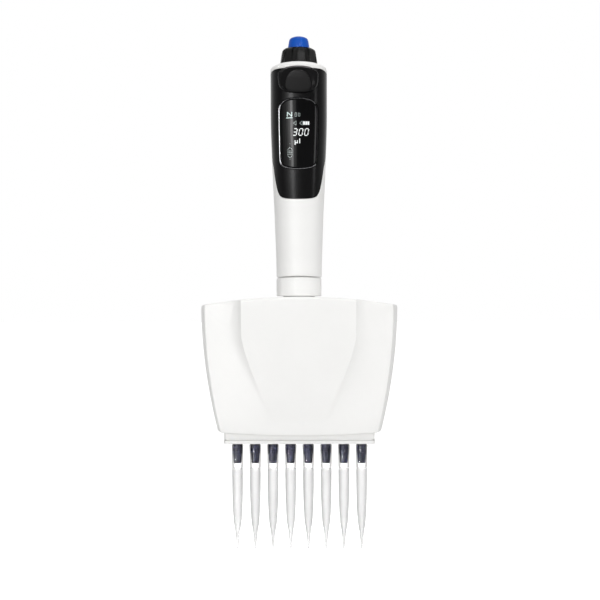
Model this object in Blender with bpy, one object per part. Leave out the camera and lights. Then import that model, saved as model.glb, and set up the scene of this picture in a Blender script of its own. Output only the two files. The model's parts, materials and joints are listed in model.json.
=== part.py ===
"""An electronic eight-channel air-displacement pipette with its tips on.

It is modelled on the axis of its handle, with height 0 at the open ends of the tips and the
front towards -Y. The empty PIPETTE then moves it so that the origin is the flat seat under
the finger hook, where the pipette hangs on its stand. Lengths are in metres.
"""

import math

import bmesh
import bpy

MM = 0.001

# Fits
SEAT_GAP = 0.3 * MM  # between two solids that touch
SLIDE_GAP = 0.25 * MM  # round a piece that slides or turns
STOP_GAP = 0.5 * MM  # left at the end of a travel
KNOB_GAP = 0.6 * MM  # under the mode ring
BAR_GAP = 1.2 * MM  # from the fitted tips up to the ejector bar
OVERLAP = 0.6 * MM  # how far shapes that are joined run into each other
CUT_REACH = 45.0 * MM  # how far cutters run to either side
FRONT_CUT_START = 5.0 * MM  # how far in front of the axis the cuts in the front begin

# Sides of the round pieces
ROUND_SIDES = 28
SHAFT_SIDES = 16
DRILL_SIDES = 12
TIP_SIDES = 10
NOZZLE_SIDES = 10
PISTON_SIDES = 8
COIL_STEPS = 7

# Channels, at the pitch of a 96-well plate
CHANNELS = 8
PITCH = 9.0 * MM
ROW_END = (CHANNELS - 1) / 2 * PITCH
STROKE = 15.3 * MM
BLOW_OUT = 1.6 * MM
EJECT_TRAVEL = 5.5 * MM

# Tips
TIP_LENGTH = 52.8 * MM
TIP_RIM_RADIUS = 3.2 * MM
TIP_COLLAR_RADIUS = 3.0 * MM
TIP_COLLAR_LENGTH = 11.6 * MM
TIP_BODY_RADIUS = 2.62 * MM
TIP_MIDDLE_RADIUS = 2.4 * MM
TIP_MIDDLE_HEIGHT = 24.0 * MM
TIP_KNEE_RADIUS = 1.85 * MM
TIP_KNEE_HEIGHT = 13.6 * MM
TIP_POINT_RADIUS = 0.46 * MM
TIP_ORIFICE_RADIUS = 0.2 * MM
TIP_WALL = 0.45 * MM

# Nozzles
NOZZLE_IN_TIP = 9.4 * MM
NOZZLE_RADIUS = 2.5 * MM
NOZZLE_END_RADIUS = 1.9 * MM
NOZZLE_BORE_RADIUS = 0.9 * MM
NOZZLE_FLANGE_RADIUS = 3.7 * MM
NOZZLE_FLANGE_HEIGHT = 2.4 * MM
SEAL_BEAD_HEIGHT = 0.7 * MM

# Ejector bar
EJECTOR_BAR_HALF_LENGTH = ROW_END + 6.5 * MM
EJECTOR_BAR_HEIGHT = 7.5 * MM
EJECTOR_LIP_HEIGHT = 2.0 * MM
EJECTOR_LIP = 0.3 * MM
EJECTOR_LEG = 2.2 * MM
EJECTOR_LEG_DEPTH = 6.0 * MM
YOKE_HEIGHT = 3.0 * MM

# Cylinders and pistons
PISTON_RADIUS = 2.5 * MM
PISTON_NECK_RADIUS = 1.3 * MM
PISTON_HEAD_RADIUS = 2.0 * MM
PISTON_HEAD_HEIGHT = 1.0 * MM
PISTON_LOW_GAP = 0.5 * MM
CYLINDER_BLOCK_HEIGHT = 19.0 * MM
CYLINDER_BLOCK_HALF_LENGTH = ROW_END + 3.8 * MM
SEAL_STRIP_HEIGHT = 2.0 * MM
SEAL_STRIP_DEPTH = 9.0 * MM
PISTON_BAR_HEIGHT = 4.5 * MM
PISTON_BAR_DEPTH = 10.0 * MM

# Manifold covers
MANIFOLD_BOTTOM = 58.7 * MM
MANIFOLD_TOP = 127.9 * MM
MANIFOLD_FOOT_HALF_WIDTH = EJECTOR_BAR_HALF_LENGTH + 3.5 * MM
MANIFOLD_SIDE_TAPER = 8.3 * MM
MANIFOLD_HALF_WIDTH = MANIFOLD_FOOT_HALF_WIDTH + MANIFOLD_SIDE_TAPER
TOP_ARCH = 3.5 * MM
BOTTOM_ARCH = 1.6 * MM
COVER_WALL = 2.0 * MM
COVER_TOP_DEPTH = 13.0 * MM
COVER_BOTTOM_DEPTH = 10.4 * MM
BOSS_DEPTH = 4.2 * MM
BOSS_HALF_WIDTH = 29.5 * MM
BOSS_RAMP = 8.0 * MM
BOSS_STRAIGHT = 20.0 * MM
BOSS_TAPER = 0.6  # share of its width that the boss loses towards the foot
BOSS_END_HEIGHT = 7.0 * MM
FACE_CROWN = 0.6 * MM
SIDE_RADIUS = 2.4 * MM
EDGE_CHAMFER = 0.6 * MM
COVER_SCREW_SIDE = MANIFOLD_HALF_WIDTH - 6.5 * MM
COVER_SCREW_BELOW_TOP = 19.5 * MM
SCREW_RADIUS = 1.1 * MM
SCREW_HEAD_RADIUS = 2.2 * MM
SCREW_HEAD_HEIGHT = 1.2 * MM
SCREW_BOSS_RADIUS = 2.8 * MM

# Swivel neck, lock ring and the shafts inside them
NECK_RADIUS = 8.0 * MM
NECK_BORE_RADIUS = 6.4 * MM
NECK_PLATE_RADIUS = 14.0 * MM
NECK_PLATE_HEIGHT = 2.7 * MM
NECK_FLANGE_RADIUS = 9.5 * MM
NECK_FLANGE_HEIGHT = 2.5 * MM
LOCK_RING_RADIUS = 11.5 * MM
LOCK_RING_HEIGHT = 9.0 * MM
LOCK_RING_EDGE = 0.5 * MM
SLEEVE_RADIUS = 4.6 * MM
SLEEVE_BORE_RADIUS = 3.4 * MM
SLEEVE_FLANGE_RADIUS = 6.1 * MM
SLEEVE_FLANGE_HEIGHT = 1.8 * MM
SLEEVE_RISE = 4.5 * MM
LINK_RADIUS = 2.0 * MM
CUP_RADIUS = 3.0 * MM
CUP_HEIGHT = 6.0 * MM
CUP_WALL = 0.7 * MM
CUP_LIP = 1.5 * MM
BALL_RADIUS = 2.0 * MM
BALL_HEIGHT = 1.5 * MM
BALL_NECK_RADIUS = 1.2 * MM

# Drive in the handle
PLUNGER_TUBE_RADIUS = 2.8 * MM
PLUNGER_END = 1.5 * MM
PLUNGER_HEAD_HALF_WIDTH = 5.9 * MM
PLUNGER_HEAD_DEPTH = 8.0 * MM
PLUNGER_HEAD_HEIGHT = 8.5 * MM
NUT_RADIUS = 3.4 * MM
NUT_HEIGHT = 5.0 * MM
LEAD_SCREW_RADIUS = 1.5 * MM
LEAD_SCREW_JOURNAL_RADIUS = 2.0 * MM
FRAME_FOOT_RADIUS = 10.0 * MM
FRAME_PLATE = 2.0 * MM
FRAME_RAIL = 1.6 * MM
FRAME_RAIL_DEPTH = 5.0 * MM
MOTOR_RADIUS = 7.5 * MM
MOTOR_HEIGHT = 20.0 * MM
MOTOR_BOSS_RADIUS = 3.0 * MM
MOTOR_BOSS_HEIGHT = 1.2 * MM

# Handle housing: distance below its top, half width, depth to the front, depth to the back
# and squareness (2 is an ellipse)
HANDLE_HEIGHT = 107.8 * MM
HANDLE_STATIONS = (
    (0.0 * MM, 14.4 * MM, 16.6 * MM, 17.5 * MM, 2.5),
    (10.0 * MM, 14.4 * MM, 16.8 * MM, 17.5 * MM, 2.5),
    (30.0 * MM, 14.35 * MM, 16.8 * MM, 17.3 * MM, 2.5),
    (45.0 * MM, 13.95 * MM, 16.1 * MM, 16.3 * MM, 2.4),
    (60.0 * MM, 13.55 * MM, 15.0 * MM, 14.8 * MM, 2.3),
    (76.0 * MM, 12.95 * MM, 13.7 * MM, 13.3 * MM, 2.15),
    (93.0 * MM, 12.25 * MM, 12.5 * MM, 12.4 * MM, 2.05),
    (107.0 * MM, 11.8 * MM, 11.8 * MM, 11.8 * MM, 2.0),
)
HANDLE_SIDES = 32
HANDLE_ROWS = 8
HANDLE_WALL = 1.8 * MM
HANDLE_FLOOR = 3.0 * MM
HANDLE_DECK = 2.0 * MM
HANDLE_TOP_RADIUS = 2.6 * MM

# Front panel and display
PANEL_HEIGHT = 65.2 * MM
PANEL_TOP_DROP = 3.2 * MM
PANEL_SEAM = 2.5 * MM
DISPLAY_TOP_DROP = 19.7 * MM
DISPLAY_HEIGHT = 32.7 * MM
DISPLAY_TOP_HALF_WIDTH = 9.4 * MM
DISPLAY_BOTTOM_HALF_WIDTH = 8.9 * MM
DISPLAY_CORNER_RADIUS = 5.0 * MM
DISPLAY_DOME = 1.4 * MM
TRIM_WIDTH = 0.6 * MM
TRIM_PROUD = 0.2 * MM
WINDOW_THICKNESS = 1.4 * MM
DISPLAY_MODULE_HALF_WIDTH = 6.4 * MM
DISPLAY_MODULE_HEIGHT = 27.0 * MM
DISPLAY_MODULE_THICKNESS = 1.4 * MM
DISPLAY_MODULE_FRONT = 13.0 * MM
BOARD_HALF_WIDTH = 7.5 * MM
BOARD_HEIGHT = 33.0 * MM
BOARD_THICKNESS = 1.0 * MM
BATTERY_HALF_WIDTH = 7.5 * MM
BATTERY_HEIGHT = 31.0 * MM
BATTERY_THICKNESS = 3.7 * MM
BATTERY_DROP = 10.7 * MM
BATTERY_FROM_MOTOR = 0.8 * MM

# Eject key and its push rod
KEY_TOP_DROP = 3.0 * MM
KEY_HEIGHT = 13.1 * MM
KEY_HALF_WIDTH = 10.0 * MM
KEY_REACH = 22.6 * MM
KEY_FOOT_REACH = 18.4 * MM
KEY_THUMB_DIP = 1.2 * MM
KEY_STEM_HALF_WIDTH = 2.4 * MM
KEY_STEM_HEIGHT = 2.4 * MM
KEY_STEM_RISE = 4.9 * MM
PUSH_ROD_HALF_WIDTH = 2.5 * MM
PUSH_ROD_THICKNESS = 1.2 * MM
PUSH_ROD_BACK = 8.2 * MM
PUSH_RING_RADIUS = 5.2 * MM
PUSH_RING_HEIGHT = 6.0 * MM
PUSH_ARM_HEIGHT = 1.6 * MM
EJECT_SPRING_DISTANCE = 6.35 * MM
EJECT_SPRING_RADIUS = 1.1 * MM
EJECT_SPRING_WIRE = 0.25 * MM
EJECT_SPRING_LENGTH = 14.0 * MM
EJECT_TAB_HEIGHT = 2.0 * MM

# Knob and button
KNOB_RADIUS = 9.3 * MM
KNOB_TOP_RADIUS = 7.9 * MM
KNOB_HEIGHT = 8.2 * MM
KNOB_FLUTES = 8
KNOB_FLUTE_DEPTH = 0.55 * MM
KNOB_BORE_RADIUS = 5.8 * MM
KNOB_STEM_RADIUS = 7.0 * MM
ENCODER_RADIUS = 7.6 * MM
ENCODER_HEIGHT = 4.2 * MM
ENCODER_DROP = 6.9 * MM
BUTTON_RADIUS = 5.45 * MM
BUTTON_TOP_RADIUS = 4.3 * MM
BUTTON_PROUD = 5.7 * MM
BUTTON_TRAVEL = 2.5 * MM
BUTTON_SKIRT = 4.5 * MM
BUTTON_WALL = 1.2 * MM
BUTTON_STEM_RADIUS = 1.6 * MM
BUTTON_SPRING_RADIUS = 3.0 * MM
BUTTON_SPRING_WIRE = 0.3 * MM
EJECTOR_SPRING_WIRE = 0.3 * MM

# Finger hook, with the seat that the pipette hangs by
HOOK_HALF_WIDTH = 7.0 * MM
HOOK_SEAT_DROP = 11.8 * MM
HOOK_SEAT_DISTANCE = 25.0 * MM
HOOK_SEAT_LENGTH = 10.0 * MM
HOOK_ARM = 6.0 * MM
HOOK_REACH = 37.5 * MM
HOOK_LIP = 10.0 * MM
HOOK_LIP_THICKNESS = 4.0 * MM
HOOK_EDGE_RADIUS = 1.2 * MM

# Charging socket in the back of the handle
SOCKET_BELOW_BATTERY = 4.9 * MM
SOCKET_HALF_WIDTH = 4.5 * MM
SOCKET_HEIGHT = 3.2 * MM
SOCKET_DEPTH = 6.0 * MM
SOCKET_WALL = 0.4 * MM

# Heights above the tips' open ends, one on top of another
NOZZLE_END = TIP_LENGTH - NOZZLE_IN_TIP
BAR_BOTTOM = TIP_LENGTH + BAR_GAP
BAR_TOP = BAR_BOTTOM + EJECTOR_BAR_HEIGHT
NOZZLE_FLANGE_BOTTOM = BAR_TOP + STOP_GAP
NOZZLE_TOP = NOZZLE_FLANGE_BOTTOM + NOZZLE_FLANGE_HEIGHT
BLOCK_BOTTOM = NOZZLE_TOP + SEAT_GAP
BLOCK_TOP = BLOCK_BOTTOM + CYLINDER_BLOCK_HEIGHT
SEAL_BOTTOM = BLOCK_TOP + SEAT_GAP
SEAL_TOP = SEAL_BOTTOM + SEAL_STRIP_HEIGHT
PISTON_BAR_BOTTOM = SEAL_TOP + BLOW_OUT + STOP_GAP
PISTON_BAR_TOP = PISTON_BAR_BOTTOM + PISTON_BAR_HEIGHT
PISTON_HEAD_BOTTOM = PISTON_BAR_TOP + SEAT_GAP
PISTON_HEAD_TOP = PISTON_HEAD_BOTTOM + PISTON_HEAD_HEIGHT
YOKE_BOTTOM = PISTON_HEAD_TOP + STROKE + EJECT_TRAVEL + STOP_GAP
YOKE_TOP = YOKE_BOTTOM + YOKE_HEIGHT
LOCK_RING_BOTTOM = MANIFOLD_TOP + SEAT_GAP
LOCK_RING_TOP = LOCK_RING_BOTTOM + LOCK_RING_HEIGHT
HANDLE_BOTTOM = LOCK_RING_TOP + STOP_GAP
HANDLE_TOP = HANDLE_BOTTOM + HANDLE_HEIGHT
NECK_FLANGE_BOTTOM = HANDLE_BOTTOM + HANDLE_FLOOR + SEAT_GAP
NECK_TOP = NECK_FLANGE_BOTTOM + NECK_FLANGE_HEIGHT
SLEEVE_TOP = NECK_TOP + SLEEVE_RISE
PUSH_RING_BOTTOM = SLEEVE_TOP + SEAT_GAP
PUSH_RING_TOP = PUSH_RING_BOTTOM + PUSH_RING_HEIGHT
FRAME_BOTTOM = PUSH_RING_TOP + 2 * STOP_GAP
FRAME_FOOT_TOP = FRAME_BOTTOM + FRAME_PLATE
CUP_BOTTOM = NECK_FLANGE_BOTTOM
CUP_TOP = CUP_BOTTOM + CUP_HEIGHT
PLUNGER_BOTTOM = CUP_TOP + BLOW_OUT
LEAD_SCREW_BOTTOM = PLUNGER_BOTTOM + PLUNGER_END + STROKE + STOP_GAP
PLUNGER_HEAD_BOTTOM = LEAD_SCREW_BOTTOM
PLUNGER_HEAD_TOP = PLUNGER_HEAD_BOTTOM + PLUNGER_HEAD_HEIGHT
FRAME_HEAD_BOTTOM = PLUNGER_HEAD_TOP + STROKE + STOP_GAP
FRAME_TOP = FRAME_HEAD_BOTTOM + FRAME_PLATE
MOTOR_BOTTOM = FRAME_TOP + SEAT_GAP
PANEL_TOP = HANDLE_TOP - PANEL_TOP_DROP
PANEL_BOTTOM = PANEL_TOP - PANEL_HEIGHT
DISPLAY_TOP = HANDLE_TOP - DISPLAY_TOP_DROP
DISPLAY_BOTTOM = DISPLAY_TOP - DISPLAY_HEIGHT
KEY_TOP = HANDLE_TOP - KEY_TOP_DROP
KEY_BOTTOM = KEY_TOP - KEY_HEIGHT
STEM_BOTTOM = KEY_BOTTOM + KEY_STEM_RISE
STEM_TOP = STEM_BOTTOM + KEY_STEM_HEIGHT
KNOB_BOTTOM = HANDLE_TOP + KNOB_GAP
KNOB_TOP = KNOB_BOTTOM + KNOB_HEIGHT
BUTTON_TOP = KNOB_TOP + BUTTON_PROUD
ENCODER_TOP = HANDLE_TOP - ENCODER_DROP
HOOK_SEAT = HANDLE_TOP - HOOK_SEAT_DROP
BATTERY_TOP = HANDLE_TOP - BATTERY_DROP
SOCKET_TOP = BATTERY_TOP - BATTERY_HEIGHT - SOCKET_BELOW_BATTERY

# Other places that follow from the sizes
PISTON_BORE_RADIUS = PISTON_RADIUS + SLIDE_GAP
PISTON_BOTTOM = BLOCK_BOTTOM + BLOW_OUT + PISTON_LOW_GAP
NOZZLE_HOLE_RADIUS = NOZZLE_RADIUS + SLIDE_GAP
CHANNEL_XS = [i * PITCH - ROW_END for i in range(CHANNELS)]
PUSH_ROD_FRONT = PUSH_ROD_BACK + PUSH_ROD_THICKNESS
MOTOR_TOP = MOTOR_BOTTOM + MOTOR_HEIGHT


def clear_scene():
    for obj in list(bpy.data.objects):
        bpy.data.objects.remove(obj)


def material(name, colour, roughness, metallic=0.0):
    """A Principled material of that name, made once and then shared."""
    made = bpy.data.materials.get(name)
    if made is None:
        made = bpy.data.materials.new(name)
        made.use_nodes = True
        shader = made.node_tree.nodes["Principled BSDF"]
        shader.inputs["Base Color"].default_value = (*colour, 1.0)
        shader.inputs["Roughness"].default_value = roughness
        shader.inputs["Metallic"].default_value = metallic
    return made


def white_plastic():
    return material("white_plastic", (0.84, 0.84, 0.83), 0.35)


def black_plastic():
    return material("black_plastic", (0.025, 0.025, 0.03), 0.38)


def blue_plastic():
    return material("blue_plastic", (0.02, 0.16, 0.62), 0.4)


def dark_polymer():
    return material("dark_polymer", (0.035, 0.035, 0.055), 0.3)


def clear_plastic():
    return material("clear_plastic", (0.9, 0.92, 0.92), 0.15)


def black_glass():
    return material("black_glass", (0.01, 0.01, 0.012), 0.05)


def bright_trim():
    return material("bright_trim", (0.75, 0.76, 0.78), 0.2, 1.0)


def steel():
    return material("steel", (0.6, 0.6, 0.62), 0.3, 1.0)


def aluminium():
    return material("aluminium", (0.75, 0.75, 0.76), 0.35, 1.0)


def brass():
    return material("brass", (0.72, 0.55, 0.25), 0.35, 1.0)


def grey_plastic():
    return material("grey_plastic", (0.3, 0.31, 0.33), 0.5)


def board_green():
    return material("board_green", (0.03, 0.2, 0.08), 0.5)


def silicone():
    return material("silicone", (0.55, 0.2, 0.15), 0.6)


def finished(name, bm, finish):
    """Turns a bmesh into the object of that name, shaded smooth, on the pipette's empty."""
    bmesh.ops.recalc_face_normals(bm, faces=bm.faces)
    mesh = bpy.data.meshes.new(name)
    bm.to_mesh(mesh)
    bm.free()
    mesh.shade_smooth()
    mesh.set_sharp_from_angle(angle=math.radians(35))
    if finish:
        mesh.materials.append(finish)
    obj = bpy.data.objects.new(name, mesh)
    bpy.context.scene.collection.objects.link(obj)
    obj.parent = bpy.data.objects["PIPETTE"]
    return obj


def lofted(name, rings, finish, closed=False):
    """Joins rings of equally many points. A closed loft returns to its first ring."""
    bm = bmesh.new()
    made = [[bm.verts.new(point) for point in ring] for ring in rings]
    sides = len(rings[0])
    pairs = list(zip(made, made[1:]))
    if closed:
        pairs.append((made[-1], made[0]))
    else:
        bm.faces.new(made[0])
        bm.faces.new(made[-1])
    for lower, upper in pairs:
        for i in range(sides):
            j = (i + 1) % sides
            bm.faces.new((lower[i], lower[j], upper[j], upper[i]))
    return finished(name, bm, finish)


def circle(radius, height, sides):
    """Points of a horizontal circle, from +X."""
    turns = [2 * math.pi * i / sides for i in range(sides)]
    return [(radius * math.cos(t), radius * math.sin(t), height) for t in turns]


def turned(name, profile, sides, finish):
    """Spins a profile of (radius, height) round the Z axis. One that starts and ends on the
    axis is a solid, and any other is closed into a ring."""
    bm = bmesh.new()
    points = [bm.verts.new((radius, 0.0, height)) for radius, height in profile]
    on_axis = profile[0][0] == 0.0 and profile[-1][0] == 0.0
    after = points[1:] if on_axis else points[1:] + points[:1]
    edges = [bm.edges.new(pair) for pair in zip(points, after)]
    bmesh.ops.spin(
        bm,
        geom=points + edges,
        cent=(0.0, 0.0, 0.0),
        axis=(0.0, 0.0, 1.0),
        angle=2 * math.pi,
        steps=sides,
    )
    bmesh.ops.remove_doubles(bm, verts=bm.verts, dist=0.001 * MM)
    return finished(name, bm, finish)


def block(name, low, high, finish):
    """A box between two corners."""
    bm = bmesh.new()
    bmesh.ops.create_cube(bm, size=1.0)
    for corner in bm.verts:
        for axis in range(3):
            corner.co[axis] = low[axis] if corner.co[axis] < 0 else high[axis]
    return finished(name, bm, finish)


def plate(name, outline, axis, low, high, finish):
    """Extrudes an outline along an axis. Its points give the other two coordinates in order."""

    def place(point, along):
        rest = list(point)
        rest.insert("XYZ".index(axis), along)
        return rest

    bm = bmesh.new()
    face = bm.faces.new([bm.verts.new(place(point, low)) for point in outline])
    grown = bmesh.ops.extrude_face_region(bm, geom=[face])
    for item in grown["geom"]:
        if isinstance(item, bmesh.types.BMVert):
            item.co["XYZ".index(axis)] = high
    return finished(name, bm, finish)


def rods(name, places, radius, axis, low, high, sides):
    """Cylinders side by side in one mesh, to cut holes with or to add bosses with."""
    bm = bmesh.new()
    index = "XYZ".index(axis)
    others = [i for i in range(3) if i != index]
    for place in places:
        rings = []
        for along in (low, high):
            ring = []
            for x, y, _ in circle(radius, 0.0, sides):
                point = [0.0, 0.0, 0.0]
                point[index] = along
                point[others[0]] = place[0] + x
                point[others[1]] = place[1] + y
                ring.append(bm.verts.new(point))
            rings.append(ring)
            bm.faces.new(ring)
        for i in range(sides):
            j = (i + 1) % sides
            bm.faces.new((rings[0][i], rings[0][j], rings[1][j], rings[1][i]))
    return finished(name, bm, None)


def coil(name, radius, wire, turns, low, high, finish, distance=0.0):
    """A compression spring round a vertical line at -distance along Y."""
    steps = COIL_STEPS * turns
    curve = bpy.data.curves.new(name, "CURVE")
    curve.dimensions = "3D"
    curve.bevel_depth = wire
    curve.bevel_resolution = 0
    curve.use_fill_caps = True
    spline = curve.splines.new("POLY")
    spline.points.add(steps)
    rise = high - low - 2 * wire
    for i, point in enumerate(spline.points):
        turn = 2 * math.pi * turns * i / steps
        place = (radius * math.cos(turn), radius * math.sin(turn) - distance)
        point.co = (*place, low + wire + rise * i / steps, 1.0)
    curve.materials.append(finish)
    obj = bpy.data.objects.new(name, curve)
    bpy.context.scene.collection.objects.link(obj)
    obj.parent = bpy.data.objects["PIPETTE"]
    return obj


def combine(obj, operation, helper):
    """Adds a Boolean with a helper that is left out of the object."""
    helper.hide_render = True
    helper.display_type = "WIRE"
    boolean = obj.modifiers.new(helper.name, "BOOLEAN")
    boolean.operation = operation
    boolean.object = helper
    return obj


def curve_through(points, steps):
    """A smooth open curve through points, with that many steps between two of them."""
    made = []
    for i in range(len(points) - 1):
        before = points[max(i - 1, 0)]
        after = points[min(i + 2, len(points) - 1)]
        for step in range(steps):
            t = step / steps
            made.append(
                tuple(
                    0.5
                    * (
                        2 * p1
                        + (p2 - p0) * t
                        + (2 * p0 - 5 * p1 + 4 * p2 - p3) * t * t
                        + (3 * p1 - p0 - 3 * p2 + p3) * t**3
                    )
                    for p0, p1, p2, p3 in zip(before, points[i], points[i + 1], after)
                )
            )
    return made + [tuple(points[-1])]


def grown(outline, distance):
    """A closed outline moved outwards by a distance."""
    area = sum(
        a[0] * b[1] - b[0] * a[1] for a, b in zip(outline, outline[1:] + outline[:1])
    )
    side = 1.0 if area > 0 else -1.0
    moved = []
    for i, point in enumerate(outline):
        before, after = outline[i - 1], outline[(i + 1) % len(outline)]
        normals = []
        for a, b in ((before, point), (point, after)):
            length = math.dist(a, b)
            normals.append(
                (side * (b[1] - a[1]) / length, side * (a[0] - b[0]) / length)
            )
        across = (normals[0][0] + normals[1][0], normals[0][1] + normals[1][1])
        share = 2 * distance / (across[0] ** 2 + across[1] ** 2)
        moved.append((point[0] + across[0] * share, point[1] + across[1] * share))
    return moved


def rounded(corners, radius, steps):
    """A closed outline with each corner rounded by a smooth curve of about that radius."""
    made = []
    for i, corner in enumerate(corners):
        before, after = corners[i - 1], corners[(i + 1) % len(corners)]
        ends = []
        for other in (before, after):
            length = math.dist(corner, other)
            reach = min(radius, length / 2)
            ends.append([c + (o - c) * reach / length for c, o in zip(corner, other)])
        for step in range(steps + 1):
            t = step / steps
            made.append(
                tuple(
                    (1 - t) ** 2 * a + 2 * t * (1 - t) * c + t * t * b
                    for a, c, b in zip(ends[0], corner, ends[1])
                )
            )
    return [p for i, p in enumerate(made) if math.dist(p, made[i - 1]) > 0.01 * MM]


def handle_sizes(height):
    """Half width, front depth, back depth and squareness of the handle at a height."""
    drop = min(max(HANDLE_TOP - height, 0.0), HANDLE_STATIONS[-1][0])
    below = next(i for i, s in enumerate(HANDLE_STATIONS) if s[0] >= drop)
    below = max(below, 1)
    high, low = HANDLE_STATIONS[below - 1], HANDLE_STATIONS[below]
    t = (drop - high[0]) / (low[0] - high[0])
    return [a + (b - a) * t for a, b in zip(high[1:], low[1:])]


def handle_ring(height, inset):
    """The handle's section at a height, moved in by an inset."""
    half_width, front, back, squareness = handle_sizes(height)
    ring = []
    for i in range(HANDLE_SIDES):
        turn = 2 * math.pi * i / HANDLE_SIDES
        cosine, sine = math.cos(turn), math.sin(turn)
        depth = (back if sine > 0 else front) - inset
        x = (half_width - inset) * math.copysign(abs(cosine) ** (2 / squareness), cosine)
        y = depth * math.copysign(abs(sine) ** (2 / squareness), sine)
        ring.append((x, y, height))
    return ring


def handle_rows(low, high, rows):
    return [low + (high - low) * i / (rows - 1) for i in range(rows)]


def handle_solid(name, inset):
    """The handle's outer shape, moved in by an inset, as a helper."""
    low, high = HANDLE_BOTTOM - OVERLAP, HANDLE_TOP + OVERLAP
    rings = [handle_ring(height, inset) for height in handle_rows(low, high, 2 * HANDLE_ROWS)]
    return lofted(name, rings, None)


def handle_skin(name, outside, inside, low, high, finish):
    """A tube of the handle's wall between two insets, to cut a piece of the wall from."""
    heights = handle_rows(low, high, HANDLE_ROWS)
    rings = [handle_ring(height, outside) for height in heights]
    rings += [handle_ring(height, inside) for height in reversed(heights)]
    return lofted(name, rings, finish, closed=True)


def panel_outline():
    """The front panel's edge seen from the side, as (y, z)."""
    back = [
        (-10.0 * MM, PANEL_TOP),
        (PANEL_SEAM - 8.0 * MM, PANEL_TOP - 0.7 * MM),
        (PANEL_SEAM - 2.0 * MM, PANEL_TOP - 2.4 * MM),
        (PANEL_SEAM, PANEL_TOP - 7.0 * MM),
        (PANEL_SEAM, PANEL_TOP - 28.0 * MM),
        (PANEL_SEAM - 2.9 * MM, PANEL_BOTTOM + 24.5 * MM),
        (-6.9 * MM, PANEL_BOTTOM + 16.5 * MM),
        (-9.3 * MM, PANEL_BOTTOM + 9.0 * MM),
        (-11.0 * MM, PANEL_BOTTOM + 2.6 * MM),
        (-14.5 * MM, PANEL_BOTTOM),
    ]
    return [(-CUT_REACH, PANEL_TOP)] + curve_through(back, 2) + [(-CUT_REACH, PANEL_BOTTOM)]


def display_outline(grow=0.0):
    """The display window's edge seen from the front, as (x, z)."""
    top, bottom = DISPLAY_TOP_HALF_WIDTH, DISPLAY_BOTTOM_HALF_WIDTH
    dome = DISPLAY_DOME
    corners = [
        (-bottom, DISPLAY_BOTTOM + dome),
        (0.0, DISPLAY_BOTTOM - dome / 2),
        (bottom, DISPLAY_BOTTOM + dome),
        (top, DISPLAY_TOP - dome),
        (0.0, DISPLAY_TOP + dome / 2),
        (-top, DISPLAY_TOP - dome),
    ]
    return grown(rounded(corners, DISPLAY_CORNER_RADIUS, 3), grow)


def front_prism(name, outline, finish=None):
    """A prism through the front half of the handle."""
    return plate(name, outline, "Y", -CUT_REACH, -FRONT_CUT_START, finish)


def make_handle_housing():
    heights = handle_rows(HANDLE_BOTTOM, HANDLE_TOP - HANDLE_TOP_RADIUS, HANDLE_ROWS)
    inner = handle_rows(HANDLE_BOTTOM + HANDLE_FLOOR, HANDLE_TOP - HANDLE_DECK, HANDLE_ROWS)
    neck_hole = NECK_RADIUS + SLIDE_GAP
    knob_hole = KNOB_STEM_RADIUS + SLIDE_GAP
    lean = 1 - math.sqrt(0.5)
    rings = [handle_ring(height, 0.0) for height in heights]
    rings.append(handle_ring(HANDLE_TOP - lean * HANDLE_TOP_RADIUS, lean * HANDLE_TOP_RADIUS))
    rings.append(handle_ring(HANDLE_TOP, HANDLE_TOP_RADIUS))
    rings.append(circle(knob_hole, HANDLE_TOP, HANDLE_SIDES))
    rings.append(circle(knob_hole, HANDLE_TOP - HANDLE_DECK, HANDLE_SIDES))
    rings += [handle_ring(height, HANDLE_WALL) for height in reversed(inner)]
    rings.append(circle(neck_hole, HANDLE_BOTTOM + HANDLE_FLOOR, HANDLE_SIDES))
    rings.append(circle(neck_hole, HANDLE_BOTTOM, HANDLE_SIDES))
    housing = lofted("handle_housing", rings, white_plastic(), closed=True)
    opening = grown(panel_outline(), SEAT_GAP)
    combine(housing, "DIFFERENCE", plate("panel_cut", opening, "X", -CUT_REACH, CUT_REACH, None))
    half = SOCKET_HALF_WIDTH + SEAT_GAP
    low = (-half, MOTOR_RADIUS, SOCKET_TOP - SOCKET_HEIGHT - SEAT_GAP)
    slot = block("socket_cut", low, (half, CUT_REACH, SOCKET_TOP + SEAT_GAP), None)
    return combine(housing, "DIFFERENCE", slot)


def make_front_panel():
    low, high = PANEL_BOTTOM - OVERLAP, PANEL_TOP + OVERLAP
    panel = handle_skin("front_panel", 0.0, HANDLE_WALL, low, high, black_plastic())
    region = plate("panel_region", panel_outline(), "X", -CUT_REACH, CUT_REACH, None)
    combine(panel, "INTERSECT", region)
    hole = display_outline(2 * SLIDE_GAP + TRIM_WIDTH)
    combine(panel, "DIFFERENCE", front_prism("display_cut", hole))
    half = KEY_STEM_HALF_WIDTH + SEAT_GAP
    low = (-half, -CUT_REACH, STEM_BOTTOM - EJECT_TRAVEL - SEAT_GAP)
    slot = block("key_slot_cut", low, (half, -FRONT_CUT_START, STEM_TOP + SEAT_GAP), None)
    return combine(panel, "DIFFERENCE", slot)


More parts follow.
